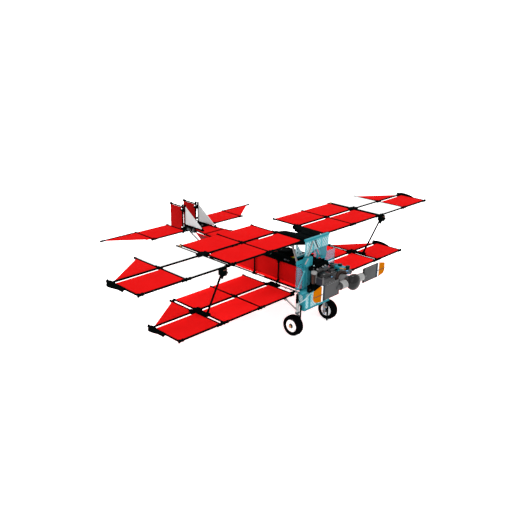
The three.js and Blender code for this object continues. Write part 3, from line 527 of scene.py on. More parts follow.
# Centre section: a flat cover, notched behind, between two ribs, with the cabane struts below
RIB = [(9, -1), (2, 2.5), (-75.7, 2.5), (-75.7, -8), (-50, -15), (-20, -12), (9, -7)]
RIB_X = 31.3
COVER = [(30.3, -75.7), (30.3, -2), (15, -8), (7.7, -35)]
p = Piece("centre_ribs")
p.prism(mirrored(COVER), "z", -6, 2.5, 0.8)
for _ in p.both():
    p.prism(RIB, "x", RIB_X - 3.5, RIB_X, 0.5)
    for y in range(-8, -60, -16):
        p.turned([(-0.4, 2.6), (-0.4, 1.6), (-0.2, 1.5), (0.6, 1.5), (0.6, 3.1), (0.2, 3.2)],
                 (RIB_X, y, -3), OUT)
    p.block(10, 24, -72, -50, 2, 3.2, 0.5, 1.6)
    p.block(16, 26, -46, -16, 2, 3, 0.4, 1.6)
p.block(-4, 4, -73, -40, 2, 3.6, 0.6, 1.4)
for y in (-68, -56, -44):
    p.rod((-27, y, -7), (27, y, -7), 1.7)
p.done("centre_section")

for hand in SIDES:
    p = Piece("cabane_rods", LIGHT, hand)
    p.rod((30, -42, -16), (32, -59, -51), 2, 12)
    p.sleeve((30, -42.6, -17), (30.4, -45.6, -23), 2.7)
    p.sleeve((31.6, -56, -44), (31.95, -58.6, -50), 2.7)
    p.sleeve((26, -42, -17.3), (34, -42, -17.3), 3.1)
    p.sleeve((29, -59, -50.5), (35, -59, -50.5), 3.1, GREY)
    p.done("cabane_strut", "plastic_light_grey")

# Fuselage frame, skins and decks
HALF, TOP, LOW, POSTS, LAST = 32, -56, -104, (-9.3, 57.9, 125, 192), 192
NOSE, TAIL_X, TAIL_Y, TAIL_BAR = -77.7, 24, 262, 217.9
TAIL_RUN, TAIL_RISE = 84, 40
p = Piece("fuselage_rods")
for _ in p.both():
    p.rod((HALF, NOSE + 1, TOP), (HALF, LAST, TOP), ROD)
    p.rod((HALF, LAST, TOP), (TAIL_X, TAIL_Y, TOP - 1), ROD)
    p.rod((HALF, NOSE + 1, LOW), (HALF, LAST + 2, LOW), ROD)
    p.rod((TAIL_X, LAST, LOW), (TAIL_X, LAST + TAIL_RUN, LOW + TAIL_RISE), ROD)
    for y in (NOSE + 3, *POSTS):
        p.rod((HALF, y, TOP), (HALF, y, LOW), ROD)
        for z0, z1 in ((TOP - 6, TOP + 1.5), (LOW - 1.5, LOW + 6)):
            p.sleeve((HALF, y, z0), (HALF, y, z1), COLLAR + 0.3)
        for z in (TOP, LOW):
            p.sleeve((HALF, y - 5.5, z), (HALF, y + 5.5, z), COLLAR)
            p.pin((HALF, y, z), OUT, 1.7, 3.6, 1.3, 8)
    for k, y in enumerate((199, 206, 213)):
        p.turned([(0, 3 - k * 0.1), (2.4, 3)], (TAIL_X, y, LOW + (y - LAST) * TAIL_RISE / TAIL_RUN),
                 (0, TAIL_RUN, TAIL_RISE), 10, mat=LIGHT if k == 1 else GREY)
for y in POSTS:
    p.rod((-HALF, y, LOW), (HALF, y, LOW), ROD)
    if y > 0:
        p.rod((-HALF, y, TOP - 3.6), (HALF, y, TOP - 3.6), ROD)
p.sleeve((-TAIL_X - 5, TAIL_BAR, TOP - 0.6), (TAIL_X + 5, TAIL_BAR, TOP - 0.6), ROD + 0.4)
p.block(-HALF, HALF, NOSE, NOSE + 4, -106.5, TOP + 6, 0.6)
p.block(-HALF, HALF, NOSE + 2, 34, -106.5, -104.1, 0.6)
for y in (-60, -38, -16, 6, 26):
    p.block(-HALF + 4, HALF - 4, y - 1.2, y + 1.2, -107.2, -106, 0.3)
p.done("fuselage_frame")

LEDGE = [(27.8, LOW + 6.4), (31.6, LOW + 3), (31.6, LOW + 2), (27.8, LOW + 2)]
TAIL_PANEL = [(194.6, TOP - 2.8), (252, TOP - 3.8), (196, LOW + 5)]
for hand in SIDES:
    # Side skins in the darker copy of the red: painted shade
    p = Piece("side_sheets", RED_PAINTED_SHADE, hand)
    x = 27.5
    for y0, y1 in zip((NOSE + 3, *POSTS), POSTS):
        p.sheet((y0 + 0.2, y1 - 0.2), (LOW + 2.6, TOP - 2.6), x, "x", 0.7)
        for y in (y0 + 10, y1 - 10):
            for z in (TOP - 5.5, LOW + 5.5):
                p.pin((x + 0.6, y, z), OUT, 2.6, 1.2, 2)
        # The ledge in the brightest red: a painted highlight along the lower edge
        p.prism(LEDGE, "y", y0 + 2.2, y1 - 2.2, 0.2, mat=LEDGE_RED_PAINTED_HIGHLIGHT)
        for z in (LOW + 3, TOP - 3):
            p.rod((x - 0.8, y0 + 3, z), (x - 0.8, y1 - 3, z), 1.5, 8)
    p.prism(TAIL_PANEL, "x", x - 0.8, x + 0.8, 0.3, 1.5)
    p.prism(inset(TAIL_PANEL, 4), "x", x - 1.2, x + 1.2, 0.4, 1.5, MAROON)
    p.done("fuselage_side", "plastic_red")

p = Piece("rear_deck_sheets", RED)
# Deck sheets in the darker copy of the red: painted shade
for y0, y1 in ((30, 57.9), *zip(POSTS[1:], POSTS[2:])):
    p.sheet((-HALF + 2.6, HALF - 2.6), (y0 + 1.5, y1 - 1.5), TOP, crown=0.5, mat=RED_PAINTED_SHADE)
    p.rod((0, y0 + 2, TOP - 1.4), (0, y1 - 2, TOP - 1.4), 1.3, 8)
# Tail deck sheets in the darker copy of the red: painted shade
for y0, y1 in ((193.5, TAIL_BAR - 2.8), (TAIL_BAR + 2.8, 257.5)):
    wide, narrow = (HALF - (y - LAST) * 8 / 70 - 2.7 for y in (y0, y1))
    outline = [(-wide, y0), (wide, y0), (narrow, y1), (-narrow, y1)]
    p.prism(outline, "z", TOP - 0.8, TOP + 0.8, 0.3, 1, RED_PAINTED_SHADE)
    p.prism(inset(outline, 3), "z", TOP, TOP + 1.2, 0.4, 1.5)
p.block(-6, 6, TAIL_BAR - 8, TAIL_BAR + 8, -62, -58.5)
for y0, y1 in ((-8, -4.5), (4.5, 8)):
    p.block(-6, 6, TAIL_BAR + y0, TAIL_BAR + y1, -59, -55.4)
p.done("fuselage_deck", "plastic_red")

# Cockpit: deck with a raised coaming, a hump before and behind the well, small fittings and the seat
p = Piece("cockpit_coaming")
DECK = 29.5
for area in ((-DECK, DECK, -57, -46), (-DECK, DECK, -12, 30), (20, DECK, -47, -11), (-DECK, -20, -47, -11)):
    p.block(*area, -57, -54)
for area in ((-24, 24, -54, -46), (-24, 24, -12, 18), (20, 24, -47, -11), (-24, -20, -47, -11)):
    p.block(*area, -56, -49, 0.8)
for x in (-22, 22):
    p.rod((x, -50, -48.6), (x, 14, -48.6), 1.9, 12)
p.block(-20, 20, -54, -47, -50, -44, 0.8, 1.4)
p.prism([(-10, -50), (14, -50), (12, -46.5), (-6, -44), (-10, -44)], "x", -10, 10, 0.8)
for x, y, mat in ((-16, 20, RED), (-22, 23, GREY), (14, 22, GREY), (24, -20, GREY), (-26.5, -30, GREY),
                  (-26.5, -22, STEEL)):
    p.pin((x, y, -54.3), UP, 2.6, 1.8, 1.6, rise=0.8, mat=mat)
for x in (-12, -4, 4, 12):
    p.turned([(0, 2.2), (1, 2.2), (1, 1.5), (0.4, 1.4)], (x, -47.4, -46.9), (0, 1, 0), mat=GREY)
p.block(-8, -2, 20, 27, -54.5, -51.5, 0.5, mat=RED)
p.block(-11, -7, -44, -40, -54.5, -50.5, 0.5, mat=RED)
p.rod((0, -34, -104), (0, -30, -66), 1.6, 8)
p.turned([(-1, 1.2), (0, 3), (3, 3.3), (5, 1.8)], (0, -30, -67), (0, 0.1, 1), mat=GREY)
p.done("cockpit_deck")

p = Piece("seat_cushions", OLIVE)
SEAT_LOW, SEAT_TOP, SEAT_Y = -103.8, -79.8, -12.3
p.block(-11, 11, SEAT_Y - 19, SEAT_Y, SEAT_LOW, SEAT_TOP, 1.2, 2)
p.block(-9.6, 9.6, SEAT_Y - 18, SEAT_Y - 6, SEAT_TOP - 0.6, SEAT_TOP + 0.9, 0.8, 2)
p.block(-11, 11, SEAT_Y - 13.5, SEAT_Y - 5.5, SEAT_TOP - 1, -54.4, 1.6, 2.6)
for z in (-76, -69, -62):
    p.block(-9.4, 9.4, SEAT_Y - 14.4, SEAT_Y - 13.1, z - 2.8, z + 2.8, 0.6, 1.2)
p.done("seat", "plastic_olive")


# Lattice of thin diagonal bars on a plate
def clip(a, b, polygon):
    start, end = 0, 1
    sense = winding(polygon)
    for _, q, r in corners(polygon):
        normal = Vector((q.y - r.y, r.x - q.x)) * sense
        inside = (a - q).dot(normal)
        slope = (b - a).dot(normal)
        if abs(slope) < 1e-9:
            if inside < 0:
                return None
            continue
        t = -inside / slope
        start, end = (max(start, t), end) if slope > 0 else (start, min(end, t))
    if start >= end:
        return None
    return a.lerp(b, start), a.lerp(b, end)


def lattice(p, polygon, axis, low, high, pitch, width, mat=None):
    polygon = inset(polygon, 1.6)
    (x0, x1), (z0, z1) = ((min(values), max(values)) for values in zip(*polygon))
    span, middle = x1 - x0 + z1 - z0, Vector((x0 + x1, z0 + z1)) / 2
    count = int(span / 2 / pitch)
    for slope in (1, -1):
        along = Vector((0.62, 0.78 * slope))
        across = Vector((-along.y, along.x))
        for k in range(-count, count + 1):
            foot = middle + across * (k * pitch)
            cut = clip(foot - along * span, foot + along * span, polygon)
            if cut and (cut[1] - cut[0]).length > 3:
                a, b = cut
                n = across * width / 2
                p.prism([a - n, b - n, b + n, a + n], axis, low, high, 0.2, mat=mat)


# Nose: a teal post with bands on the right, latticed screens, clear windows, chin and windscreen
p = Piece("nose_posts_and_bands", TEAL)
p.block(-39, -20, -87.6, -78, -49, -31, 0.7, 0.8)
# Lighter teal strip on the post's front face: painted light
p.block(-38.6, -30.5, -88, -86.4, -48.6, -31.4, mat=TEAL_PAINTED_LIGHT)
p.block(-38, -18, -81.8, -78, -103.7, -48, 0.5, 0.6)
# The lower post's face in the lighter teal: painted light against its shade
p.block(-31, -18.4, -82.3, -81, -102, -50, mat=TEAL_PAINTED_LIGHT)
p.block(-59.4, -20, -81, -78, -42, -34, 0.5, 0.6)
p.rod((-36.4, -88.9, -31), (-45, -88.9, -41), 1.2, mat=LIGHT)
for z in (-55, -66, -77, -88):
    p.pin((-27.5, -81.8, z), AHEAD, 1.9, 0.6, 1.4, rise=0.3)
p.block(-50, 50, -88, -82, -103.7, -95.7, 0.7, 0.8)
# Lighter teal strip on the chin beam's face: painted light
p.block(-48, 48, -88.4, -87.3, -102.6, -99.4, 0.3, mat=TEAL_PAINTED_LIGHT)
p.rod((-41, -84.4, -58), (-58.4, -84.4, -88.6), 1.1, mat=AQUA)
p.turned([(-1.4, 2), (1.4, 2)], (-41, -84.2, -58), AHEAD, 10, mat=AQUA)
p.done("nose_frame", "plastic_teal")

p = Piece("upper_screen_lattice", ICE)
PLATE = [(36, 0.8), (36, -22), (-12, -22), (-24, -30.7), (-36, -30.7), (-36, 0.8)]
p.prism(PLATE, "y", -80.9, -79.1, 0.3, mat=AQUA)
for field in ([(-36, -1), (-36, -30.7), (-24, -30.7), (-14, -23), (-14, -1)], rectangle(-12, 11, -1, -22),
              rectangle(13, 36, -1, -22)):
    lattice(p, field, "y", -81.5, -78.5, 5.2, 1.5)
p.block(-36, 36, -82.8, -76, 0.4, 4.3, 0.6, 0.8, TEAL)
p.block(-35, 35, -83, -82, 1.2, 2.2, 0.2, mat=TEAL)
p.turned([(-1, 1.3), (0.8, 1.3), (1.2, 0.8)], (12.4, -77.8, 4.3), UP, mat=WHITE)
p.rod((3.6, -80, -20.6), (12.7, -80, -38.9), 0.9, 8, AQUA)
p.rod((-16.3, -82.6, -1.6), (-31, -84, -29), 1.2, mat=LIGHT)
for x0, z0, x1, z1, mat in ((-34.5, -1.4, -29.4, -21, ICE), (-15.6, -1.4, -5.4, -18.5, ICE),
                            (-8.6, -1.6, 0.6, -19, STEEL)):
    p.rod((x0, -82.4, z0), (x1, -82.4, z1), 1.1, mat=mat)
p.done("upper_screen", "clear_blue")


def pane(outline, hand):
    p = Piece("window_pane", GLASS, hand)
    p.prism(outline, "y", -80.2, -78.8, 0.3)
    p.rod((58.8, -80.2, outline[0][1] + 0.6), (58.8, -80.2, -44), 0.7, 8, STEEL)
    return p


pane(rectangle(59.4, 38.4, -95.4, -42.3), "right").done("nose_window", "clear_blue")
p = pane([(20, -95.4), (59.4, -95.4), (59.4, -34), (32, -34), (32, -22.3), (-9, -22.3), (-9, -34), (2, -43),
          (20, -47.7)], "left")
p.prism([(7, -23), (31.4, -23), (31.4, -44), (15, -43)], "y", -80.6, -78.4, 0.2, mat=TINT)
p.rod((7, -80.6, -25), (15, -80.6, -43), 0.9, 8, AQUA)
p.rod((22, -80.6, -92), (58, -80.6, -92), 1.3, 8, TEAL)
p.done("nose_window", "clear_blue")

p = Piece("chin_lattice", TEAL)
p.block(-40, 40, -87, -85, -142, -104, mat=AQUA)
for x0, x1 in ((-37, -27), (-21, -2), (2, 21), (27, 37)):
    lattice(p, rectangle(x0, x1, -139, -106), "y", -87.8, -84.6, 4.6, 1.7, ICE)
for x in (-24, 0, 24):
    p.block(x - 1.6, x + 1.6, -88, -85, -141, -105, 0.5)
p.block(-40, 40, -88.2, -84.6, -142, -138.8, 0.5)
p.block(-40, 40, -88, -85, -106.4, -104, 0.5)
for _ in p.both():
    p.prism([(-86, -104), (-70, -104), (-70, -120), (-80, -142), (-86, -142)], "x", 37.8, 40.2, 0.5)
    p.rod((39, -87, -104.5), (39, -87, -141.5), 1.6)
    lattice(p, [(-84, -107), (-72, -107), (-72, -119), (-77, -126), (-84, -126)], "x", 40, 40.9, 4, 1.9, ICE)
    bend = (41, -88.6, -116)
    p.rod((24, -89.6, -105.5), bend, 1.2, mat=ICE)
    p.rod(bend, (41.4, -76, -127.7), 1.2, mat=ICE)
p.done("chin_screen", "clear_blue")

p = Piece("windscreen_lattice", MIST)
SILL = -43.7
for _ in p.both():
    p.prism([(29, SILL), (29, -17), (26.4, -12.6), (8, -37), (8, SILL)], "y", -51.3, -49.7, 0.3)
    for x, z in ((24, -24), (24, -32), (16, -36)):
        p.turned([(-1.2, 1.6), (1.2, 1.6)], (x, -50.5, z), (0, 1, 0), 10, mat=TEAL)
p.block(-8.3, 8.3, -51.3, -49.7, SILL, -38, 0.3)
p.block(-29, 29, -52.3, -48.7, SILL, SILL + 3.4, 0.5, mat=TEAL)
p.done("windscreen", "clear_blue")

# Engine: mount, block with its cylinder, domed cover, tank with caps, exhaust arch and small fittings
p = Piece("engine_mount_blocks")
p.block(-17.7, 19.7, -96, -78, -95.4, -48, 0.8, 1.4)
p.block(-17, 4, -92, -82, -49, -41, 0.8, 1.4)
p.block(-14, 1, -92.4, -83, -46, -42, 0.5, 1)
p.block(-19.7, -17.2, -87, -84, -60, -27, 0.5, 0.6)
p.block(-34, -17, -94, -88.3, -56, -49.5, 0.7, 1.2)
p.rod((-34, -92.2, -90), (34, -92.2, -90), 3.8, 14)
p.block(-37, -24, -96, -89.2, -101, -86, 0.8, 1.6)
p.stub((-35, -95.6, -94), (1, 0, 0.2), 1.4, 2, mat=BROWN)
for x in (-29, -22, 22, 29):
    p.stub((x, -92.2, -90), OUT, 4.1, 2.2, 14, 3.4)
for z in range(-56, -90, -10):
    p.block(-18.2, 20.2, -95.8, -79, z - 1.2, z + 1.2)
for x in (4, 13):
    p.rod((x, -88, -49), (x, -88, -39.6), 1.4, 12)
    p.stub((x, -88, -46.6), UP, 2.1, 1.2, 12, 1.4)
p.turned([(0, 5.2), (0.4, 6), (1.6, 6), (2, 5.6)], (9.8, -88, -40), UP, 24, mat=TEAL)
p.stub((-29, -95, -52), AHEAD, 4, 2, 16, 3.2, 0.6)
p.pin((-29, -97, -52), AHEAD, 1.6, 0.8, 1, 10, mat=GREY)
p.block(-23, -19.5, -92.6, -91, -49.8, -48, 0.3, mat=ICE)
for x, y, z, mat in ((-18, -95.6, -89.5, RUST), (-14, -96.4, -92, STEEL), (-10, -96.6, -95, NAVY)):
    p.stub((x, y, z), (1, 0, -0.3), 1.3, 2.8, mat=mat)
p.hose([(-16, -94, -94), (-10, -97, -98.5), (2, -97, -98.5), (10, -94, -95)], 1.8)
p.done("engine_mount")

p = Piece("engine_block_body", GREY)
p.block(-31, 26, -123.8, -96.3, -96, -66.4, 0.9, 1.6)
p.block(-30, 25, -124.2, -122, -84, -67, 0.5, 1)
# The block's right side face in dark slate: painted shade
p.block(-31.6, -29, -121, -106, -80, -67, 0.4, 0.6, SLATE_AND_SHADE)
p.block(-31.8, -29, -122.6, -97, -95.6, -80, 0.4, 0.6, BLACK)
p.block(-32.5, -29.4, -124.6, -122.4, -76, -62, mat=MID)
p.block(-33.2, -29, -107.4, -104.7, -77, -61.6, 0.5, 0.6, MID)
for z in range(-91, -70, 5):
    p.block(-26, 26.4, -121, -98, z - 0.9, z + 0.9)
p.turned([(0, 5.3), (0.5, 5.8), (17.6, 5.8), (18, 6), (22.4, 6), (23, 5.2)], (-31, -101, -80), UP, 8,
         mat=UMBER)
p.turned([(0, 5.6), (0.3, 6), (4.6, 6), (5.2, 5.2)], (-31.8, -101, -60.4), (0.12, -0.1, 1), 8, mat=LIGHT)
# Thin rods round the cylinder: the rust, brown and grey ones are painted shade bands, the mid grey one a
# painted highlight streak
for angle, mat in ((3.4, RUST), (4.2, BROWN), (4.8, GREY), (5.3, BROWN), (5.8, MID)):
    x, y = -31 + 5.6 * cos(angle), -101 + 5.6 * sin(angle)
    p.rod((x, y, -79), (x, y, -62.4), 0.7, 8, mat)
p.turned([(0, 7.6), (0.6, 8), (3, 8), (3.4, 6.2), (18.6, 6.2)], (0, -123.4, AXIS_Z), AHEAD, 20)
p.turned([(0, 8), (0.6, 8.8), (4.4, 8.8), (4.8, 8.2), (6, 8.2), (6.4, 8.8), (14.2, 8.8), (14.8, 7.8)],
         (0, -141, AXIS_Z), AHEAD, 22, mat=MID)
for x in (-22, -12, 14, 21):
    p.pin((x, -124, -76 - (x % 3)), AHEAD, 2.2, 0.8, 1.6, mat=MID)
for x, y, mat in ((-7, -126.2, BLUE), (-2.5, -126.4, BLUE), (2, -126.6, STEEL)):
    p.stub((x, y, -65.4), (1, 0.1, 0.1), 1.2, 2.4, mat=mat)
p.done("engine_block", "plastic_dark_grey")

p = Piece("dome_cover", DOME_GREY)
rim = [(0, 14.2), (0.4, 14.6), (1.2, 14.6), (1.6, 14)]
curve = [(1.6 + 6.4 * sin(t), 14 * cos(t)) for t in (k * pi / 20 for k in range(1, 10))]
p.turned([*rim, *curve, (8, 0.8)], (-12, -111, -65.7), UP, 40)
for angle, mat in ((0.2, GREY), (1.3, LIGHT), (2.4, LIGHT), (3.6, GREY), (4.8, GREY)):
    x, y = -12 + 13.2 * cos(angle), -111 + 13.2 * sin(angle)
    p.pin((x, y, -64.6), UP, 1.2, 0.8, 0.8, 10, mat=mat)
p.done("engine_dome", "gloss_dark_grey")

p = Piece("tank_and_caps", GREY)
TANK_X = 33.15
p.block(26.3, 40, -129, -99, -73, -57, 1, 1.4, TEAL)
# The tank's top in the lighter teal: painted light on the top face
p.block(28, 38.4, -127, -101, -57.6, -56.4, 0.4, 1.2, TEAL_PAINTED_LIGHT)
p.block(39.4, 40.3, -126, -102, -71, -59, mat=TEAL)
for y, low, top in ((-95, -66, -56), (-114, -58, -52.5), (-133, -66, -51.5)):
    h = top - low
    p.turned([(0, 3.4), (0.4, 4.1), (h - 3.2, 4.1), (h - 2.8, 4.5), (h - 0.6, 4.5), (h, 3.4)],
             (TANK_X, y, low), UP, 20, mat=FOREST)
p.turned([(0, 5), (3.8, 5), (4.2, 4.4), (5.4, 4.4), (5.8, 5), (11.2, 5), (11.8, 4.6)],
         (TANK_X, -129, -62.5), AHEAD, 10, mat=STEEL)
p.turned([(0, 1.5), (0.5, 1.5)], (TANK_X, -140.7, -61.4), AHEAD, mat=BLACK)
p.turned([(0, 0.8), (0.7, 0.8)], (TANK_X, -140.6, -66.2), AHEAD, 10, mat=AQUA)
for *place, mat in ((26, -121.4, -58.4, TAN), (26, -126, -57.4, TAN), (26, -131, -57.2, ORANGE),
                   (28, -135.5, -60, BLUE), (28.3, -137.4, -66.2, BLUE)):
    p.stub(place, (0.2, -1, 0.1), 1.3, 2.3, mat=mat)
p.block(22.5, 26.2, -105.5, -99.6, -65.4, -54.6, 0.6, 1)
p.block(24, 36, -106, -101.5, -57.4, -54.6, 0.6, 0.8, STEEL)
p.block(10, 22.4, -112, -98, -65.4, -61, 0.6, 1)
p.block(-8, 12, -106, -97, -65.4, -56.6, 0.6, 1.2)
p.block(-22, -9, -104, -97, -65.4, -55, 0.6, 1)
p.block(-3, 8, -103, -98, -57, -54, 0.5, 1, STEEL)
for *place, mat in ((-4, -100, -53.2, LIGHT), (3.7, -100, -52.8, LIGHT), (-20.7, -100, -54.5, LIGHT),
                   (0.5, -100, -57.4, LIGHT), (-12, -100, -54.4, GREY), (9, -99, -55.6, GREY)):
    p.pin(place, (0.1, -0.4, 1), 1.9, 0.9, 1.3, rise=0.5, mat=mat)
for x, y, z, dy, dz, half in ((2.5, -105, -60.6, -0.3, -0.3, 3.4), (14, -106, -62, -0.4, -0.2, 4.6),
                              (22, -112, -62.4, -0.8, 0.2, 4.2), (19, -105, -60.6, -0.6, 0.3, 3.6)):
    p.stub((x, y, z), (1, dy, dz), 1.5, half, mat=BLACK)
for place in ((8, -114, -64.4), (13, -117, -64.4)):
    p.pin(place, UP, 1.8, 0.8, 1.2, mat=LIGHT)
p.hose([(20, -99, -58), (15, -97.6, -52), (6, -97.6, -50.4), (-4, -97.4, -52)], 1.5, mat=BLACK)
p.done("side_tank", "plastic_teal")

p = Piece("exhaust_pipe", BROWN)
p.hose([(-8, -139.5, -67), (-7.3, -139, -61), (-4.5, -139, -56.2), (0, -141.5, -53.2), (4, -145.5, -54),
        (7, -148, -58)], lambda t: 3.8 + 0.2 * cos(t * 60), 16, 10)
p.sleeve((-8, -139.5, -68), (-7.9, -139.4, -64.6), 4.3, BLACK)
p.done("exhaust_arch", "plastic_brown")

# Propeller
BALL = (0, -172.8, AXIS_Z)
p = Piece("spinner_cone", GREY, body="propeller")
half_turn = [k * pi / 24 for k in range(-11, 12)]
ball = [((10 if a > 0 else 14) * sin(a), 16.1 * cos(a)) for a in half_turn]
p.turned([*ball, (10, 0.4)], BALL, AHEAD, 44, mat=GLOSS)
p.turned([(-16, 8.4), (-15.6, 9), (-11.6, 9), (-11.2, 8.4), (-10.6, 8.4), (-10.2, 9), (-7, 9)], BALL, AHEAD,
         24)
for x, z in ((0.5, -76.5), (5, -76)):
    p.stub((x, PROP_Y, z), (1, 0, 0.2), 1.6, 2.6, mat=MAROON)
p.rod((0, -132, AXIS_Z), SHAFT, 3, 16)
p.done("spinner", "gloss_dark_grey")


def plate(p, x0, x1, z0, z1, thick, mat=None, bevel=0.4, corner=0.4):
    """A flat part of a blade, centred on the plane of the propeller"""
    p.block(x0, x1, PROP_Y - thick, PROP_Y + thick, AXIS_Z + z0, AXIS_Z + z1, bevel, corner, mat)


for hand in SIDES:
    p = Piece("blade_socket", LIGHT, hand, "propeller")
    p.turned([(8, 9.7), (12, 9.1), (16, 8.2), (18.4, 7.4)], SHAFT, OUT, 24, mat=GLOSS)
    p.turned([(16, 6.6), (18.4, 7.2), (19, 8), (22, 8), (22.5, 7.4), (34.2, 7.6)], SHAFT, OUT, 20)
    p.turned([(34, 7), (34.3, 7.8), (35.6, 7.8), (36, 7)], SHAFT, OUT, 20, mat=GREY)
    for x in (24, 28):
        p.stub((x, PROP_Y, AXIS_Z), OUT, 7.9, 0.5, 20, 7.2, 0)
    p.done("blade_root", "plastic_light_grey")

    p = Piece("blade_plate", GREY, hand, "propeller")
    plate(p, 38.5, 81.7, -15, 15, 1.3, corner=0.8)
    plate(p, 81.4, 83.7, -15, 15, 1.5, SLATE_AND_SHADE)
    for z in (-13.6, 13.6):
        plate(p, 40, 80.8, z - 0.9, z + 0.9, 1.7)
        for x in range(44, 80, 6):
            plate(p, x, x + 3, z - 0.7, z + 0.7, 2, MID, 0.3)
    plate(p, 38.7, 40.6, -14.6, 14.6, 1.7, BLACK)
    p.turned([(36.3, 3.6), (36.7, 4.6), (41, 4.6), (46.5, 3.4)], SHAFT, OUT, 18)
    p.done("blade", "plastic_dark_grey")

    p = Piece("blade_tip_plate", ORANGE, hand, "propeller")
    plate(p, 84, 87, -15, 15, 1.4, NAVY)
    plate(p, 86.9, 91, -15, 15, 1.4, WHITE)
    tip = [(90.8, -15), (107.6, -11.7), (112, -6), (111, 9.8), (90.8, 15)]
    p.prism([(x, AXIS_Z + z) for x, z in tip], "y", PROP_Y - 1.5, PROP_Y + 1.5, 0.4, 0.8)
    for x in range(85, 111, 4):
        plate(p, x, x + 2.6, -1.9, -0.1, 1.8, SLATE_AND_SHADE, 0.1, 0.1)
    p.done("blade_tip", "plastic_orange")

# Landing gear
AXLE_Y, AXLE_Z = -74, -170.6
for hand in SIDES:
    p = Piece("gear_leg_parts", LIGHT, hand)
    inner, outer, middle = 40.3, 45.4, 42.9
    p.block(34, 36.8, -70, -19.3, -109.4, -107.1, 0.5, 0.8)
    for y in range(-68, -22, 4):
        p.block(34.4, 36.4, y - 1.2, y + 1.2, -107.4, -106.8, 0.15, mat=STEEL)
    for y in (-62, -48, -34):
        p.turned([(0, 2.6), (0.6, 2.6), (0.6, 1.8), (0.2, 1.7)], (35.4, y, -109.2), (0, 0, -1))
    p.block(33, outer, AXLE_Y, -70, -110.8, -106.7, 0.6, 0.8)
    p.block(41, 47.6, AXLE_Y, -71, -133, -107.5, 0.6, 0.8, BLACK)
    p.block(40.8, 47.8, -74.4, -70.6, -122, -117, 0.5, 0.8, BLACK)
    p.block(39.8, 48.6, -76.2, -71.8, -147.6, -126.6, 0.8, 1, PALE)
    p.block(inner, outer, -76.2, -71.8, -165, -146, 0.8, 1)
    for z in (-132, -140, -154):
        p.stub((middle, AXLE_Y, z), OUT, 2, 3, 12, 1.6, 0.3)
    p.block(39.6, 48.8, -76.6, -71.4, -149.2, -145, 0.5, 0.8, STEEL)
    p.block(inner, outer, -76.4, -71.6, -176, -164.6, 0.8, 1.2)
    for z, mat in ((-165.5, BLUE), (-160.6, TAN), (-176, BLUE)):
        p.stub((middle - 1.2, -76.4, z), (0, 1, 0), 1.2, 1.2, mat=mat)
    p.rod((inner, AXLE_Y, AXLE_Z), (65.4, AXLE_Y, AXLE_Z), 2.2, 14, BLACK)
    p.turned([(0, 2.4), (0.3, 3), (1, 3), (1.5, 1.8)], (64.8, AXLE_Y, AXLE_Z), OUT, mat=TAN)
    p.rod((43.9, -82, -129), (43.9, -82, -190.6), 1.8, 12, BLACK)
    p.block(42, 45, -83, -75.8, -160, -152, 0.5, 0.8, STEEL)
    for dy in (-2.2, 2.2):
        p.rod((45, -73.6 + dy, -141.6), (74, -68 + dy, -110.6), 1.1)
    for k in range(1, 18):
        t = k / 18
        x, y, z = 45 + 29 * t, -73.6 + 5.6 * t, -141.6 + 31 * t
        p.rod((x, y - 2.2, z), (x + 0.7, y + 2.2, z + 0.8), 0.5, 6)
    p.block(71, 77, -71, -65, -113.4, -110.4, 0.5, 0.8)
    p.done("gear_leg", "plastic_light_grey")

TREAD_HALF = [(-6.8, 13), (-7.3, 13.6), (-8.3, 15.4), (-8.8, 16.8), (-8.6, 18.4), (-7.9, 19.6), (-6.6, 20.4),
              (-4.6, 20.9)]
TREAD = [*TREAD_HALF, (0, 21), *((-dx, r) for dx, r in reversed(TREAD_HALF))]
HUB_HALF = [(6.8, 2.6), (6.8, 5), (6.4, 5.4), (4.8, 5.8), (4.8, 9.8), (6.4, 10.4), (6.8, 10.8), (6.8, 12.3),
            (6.4, 12.7)]
WHEEL_X, STEPS = 55.3, 112
WHEEL = (WHEEL_X, AXLE_Y, AXLE_Z)
for hand in SIDES:
    p = Piece("tyre_tread", RUBBER, hand, f"wheel_{hand}")
    rings = []
    for k in range(STEPS):
        angle = 2 * pi * k / STEPS
        groove = 0.5 if k % 4 < 1 else 0
        cut = [(dx, r - groove if r > 20 else r) for dx, r in TREAD]
        rings.append([(p.side * WHEEL_X + dx, AXLE_Y + cos(angle) * r, AXLE_Z + sin(angle) * r)
                      for dx, r in cut])
    p.skin(rings, loop=True)
    for face in (-1, 1):
        p.turned([(8.2, 15.4), (8.9, 15.7), (8.9, 16.4), (8.4, 16.9), (7.6, 16.2)], WHEEL, (face, 0, 0),
                 48, True)
    p.done("tyre", "rubber_black")

    # Hub in the brighter copy of the white: painted light
    p = Piece("hub_disc", HUB_WHITE_PAINTED_LIGHT, hand, f"wheel_{hand}")
    p.turned(mirrored(HUB_HALF), WHEEL, OUT, 36, True)
    for k in range(6):
        angle = pi * (k + 0.5) / 3
        for ring, radius, half, sides, mat in ((7.7, 1.5, 5.6, 12, HUB_WHITE_PAINTED_LIGHT), (11.6, 0.7, 7.4, 8, TAN)):
            place = (WHEEL_X, AXLE_Y + ring * cos(angle), AXLE_Z + ring * sin(angle))
            p.stub(place, OUT, radius, half, sides, mat=mat)
    for face in (-1, 1):
        p.turned([(6.6, 2.7), (6.9, 2.7), (7.1, 3), (7.1, 4.6), (6.8, 5), (6.4, 5)], WHEEL, (face, 0, 0),
                 20, True, BLACK)
    p.done("hub", "plastic_white")

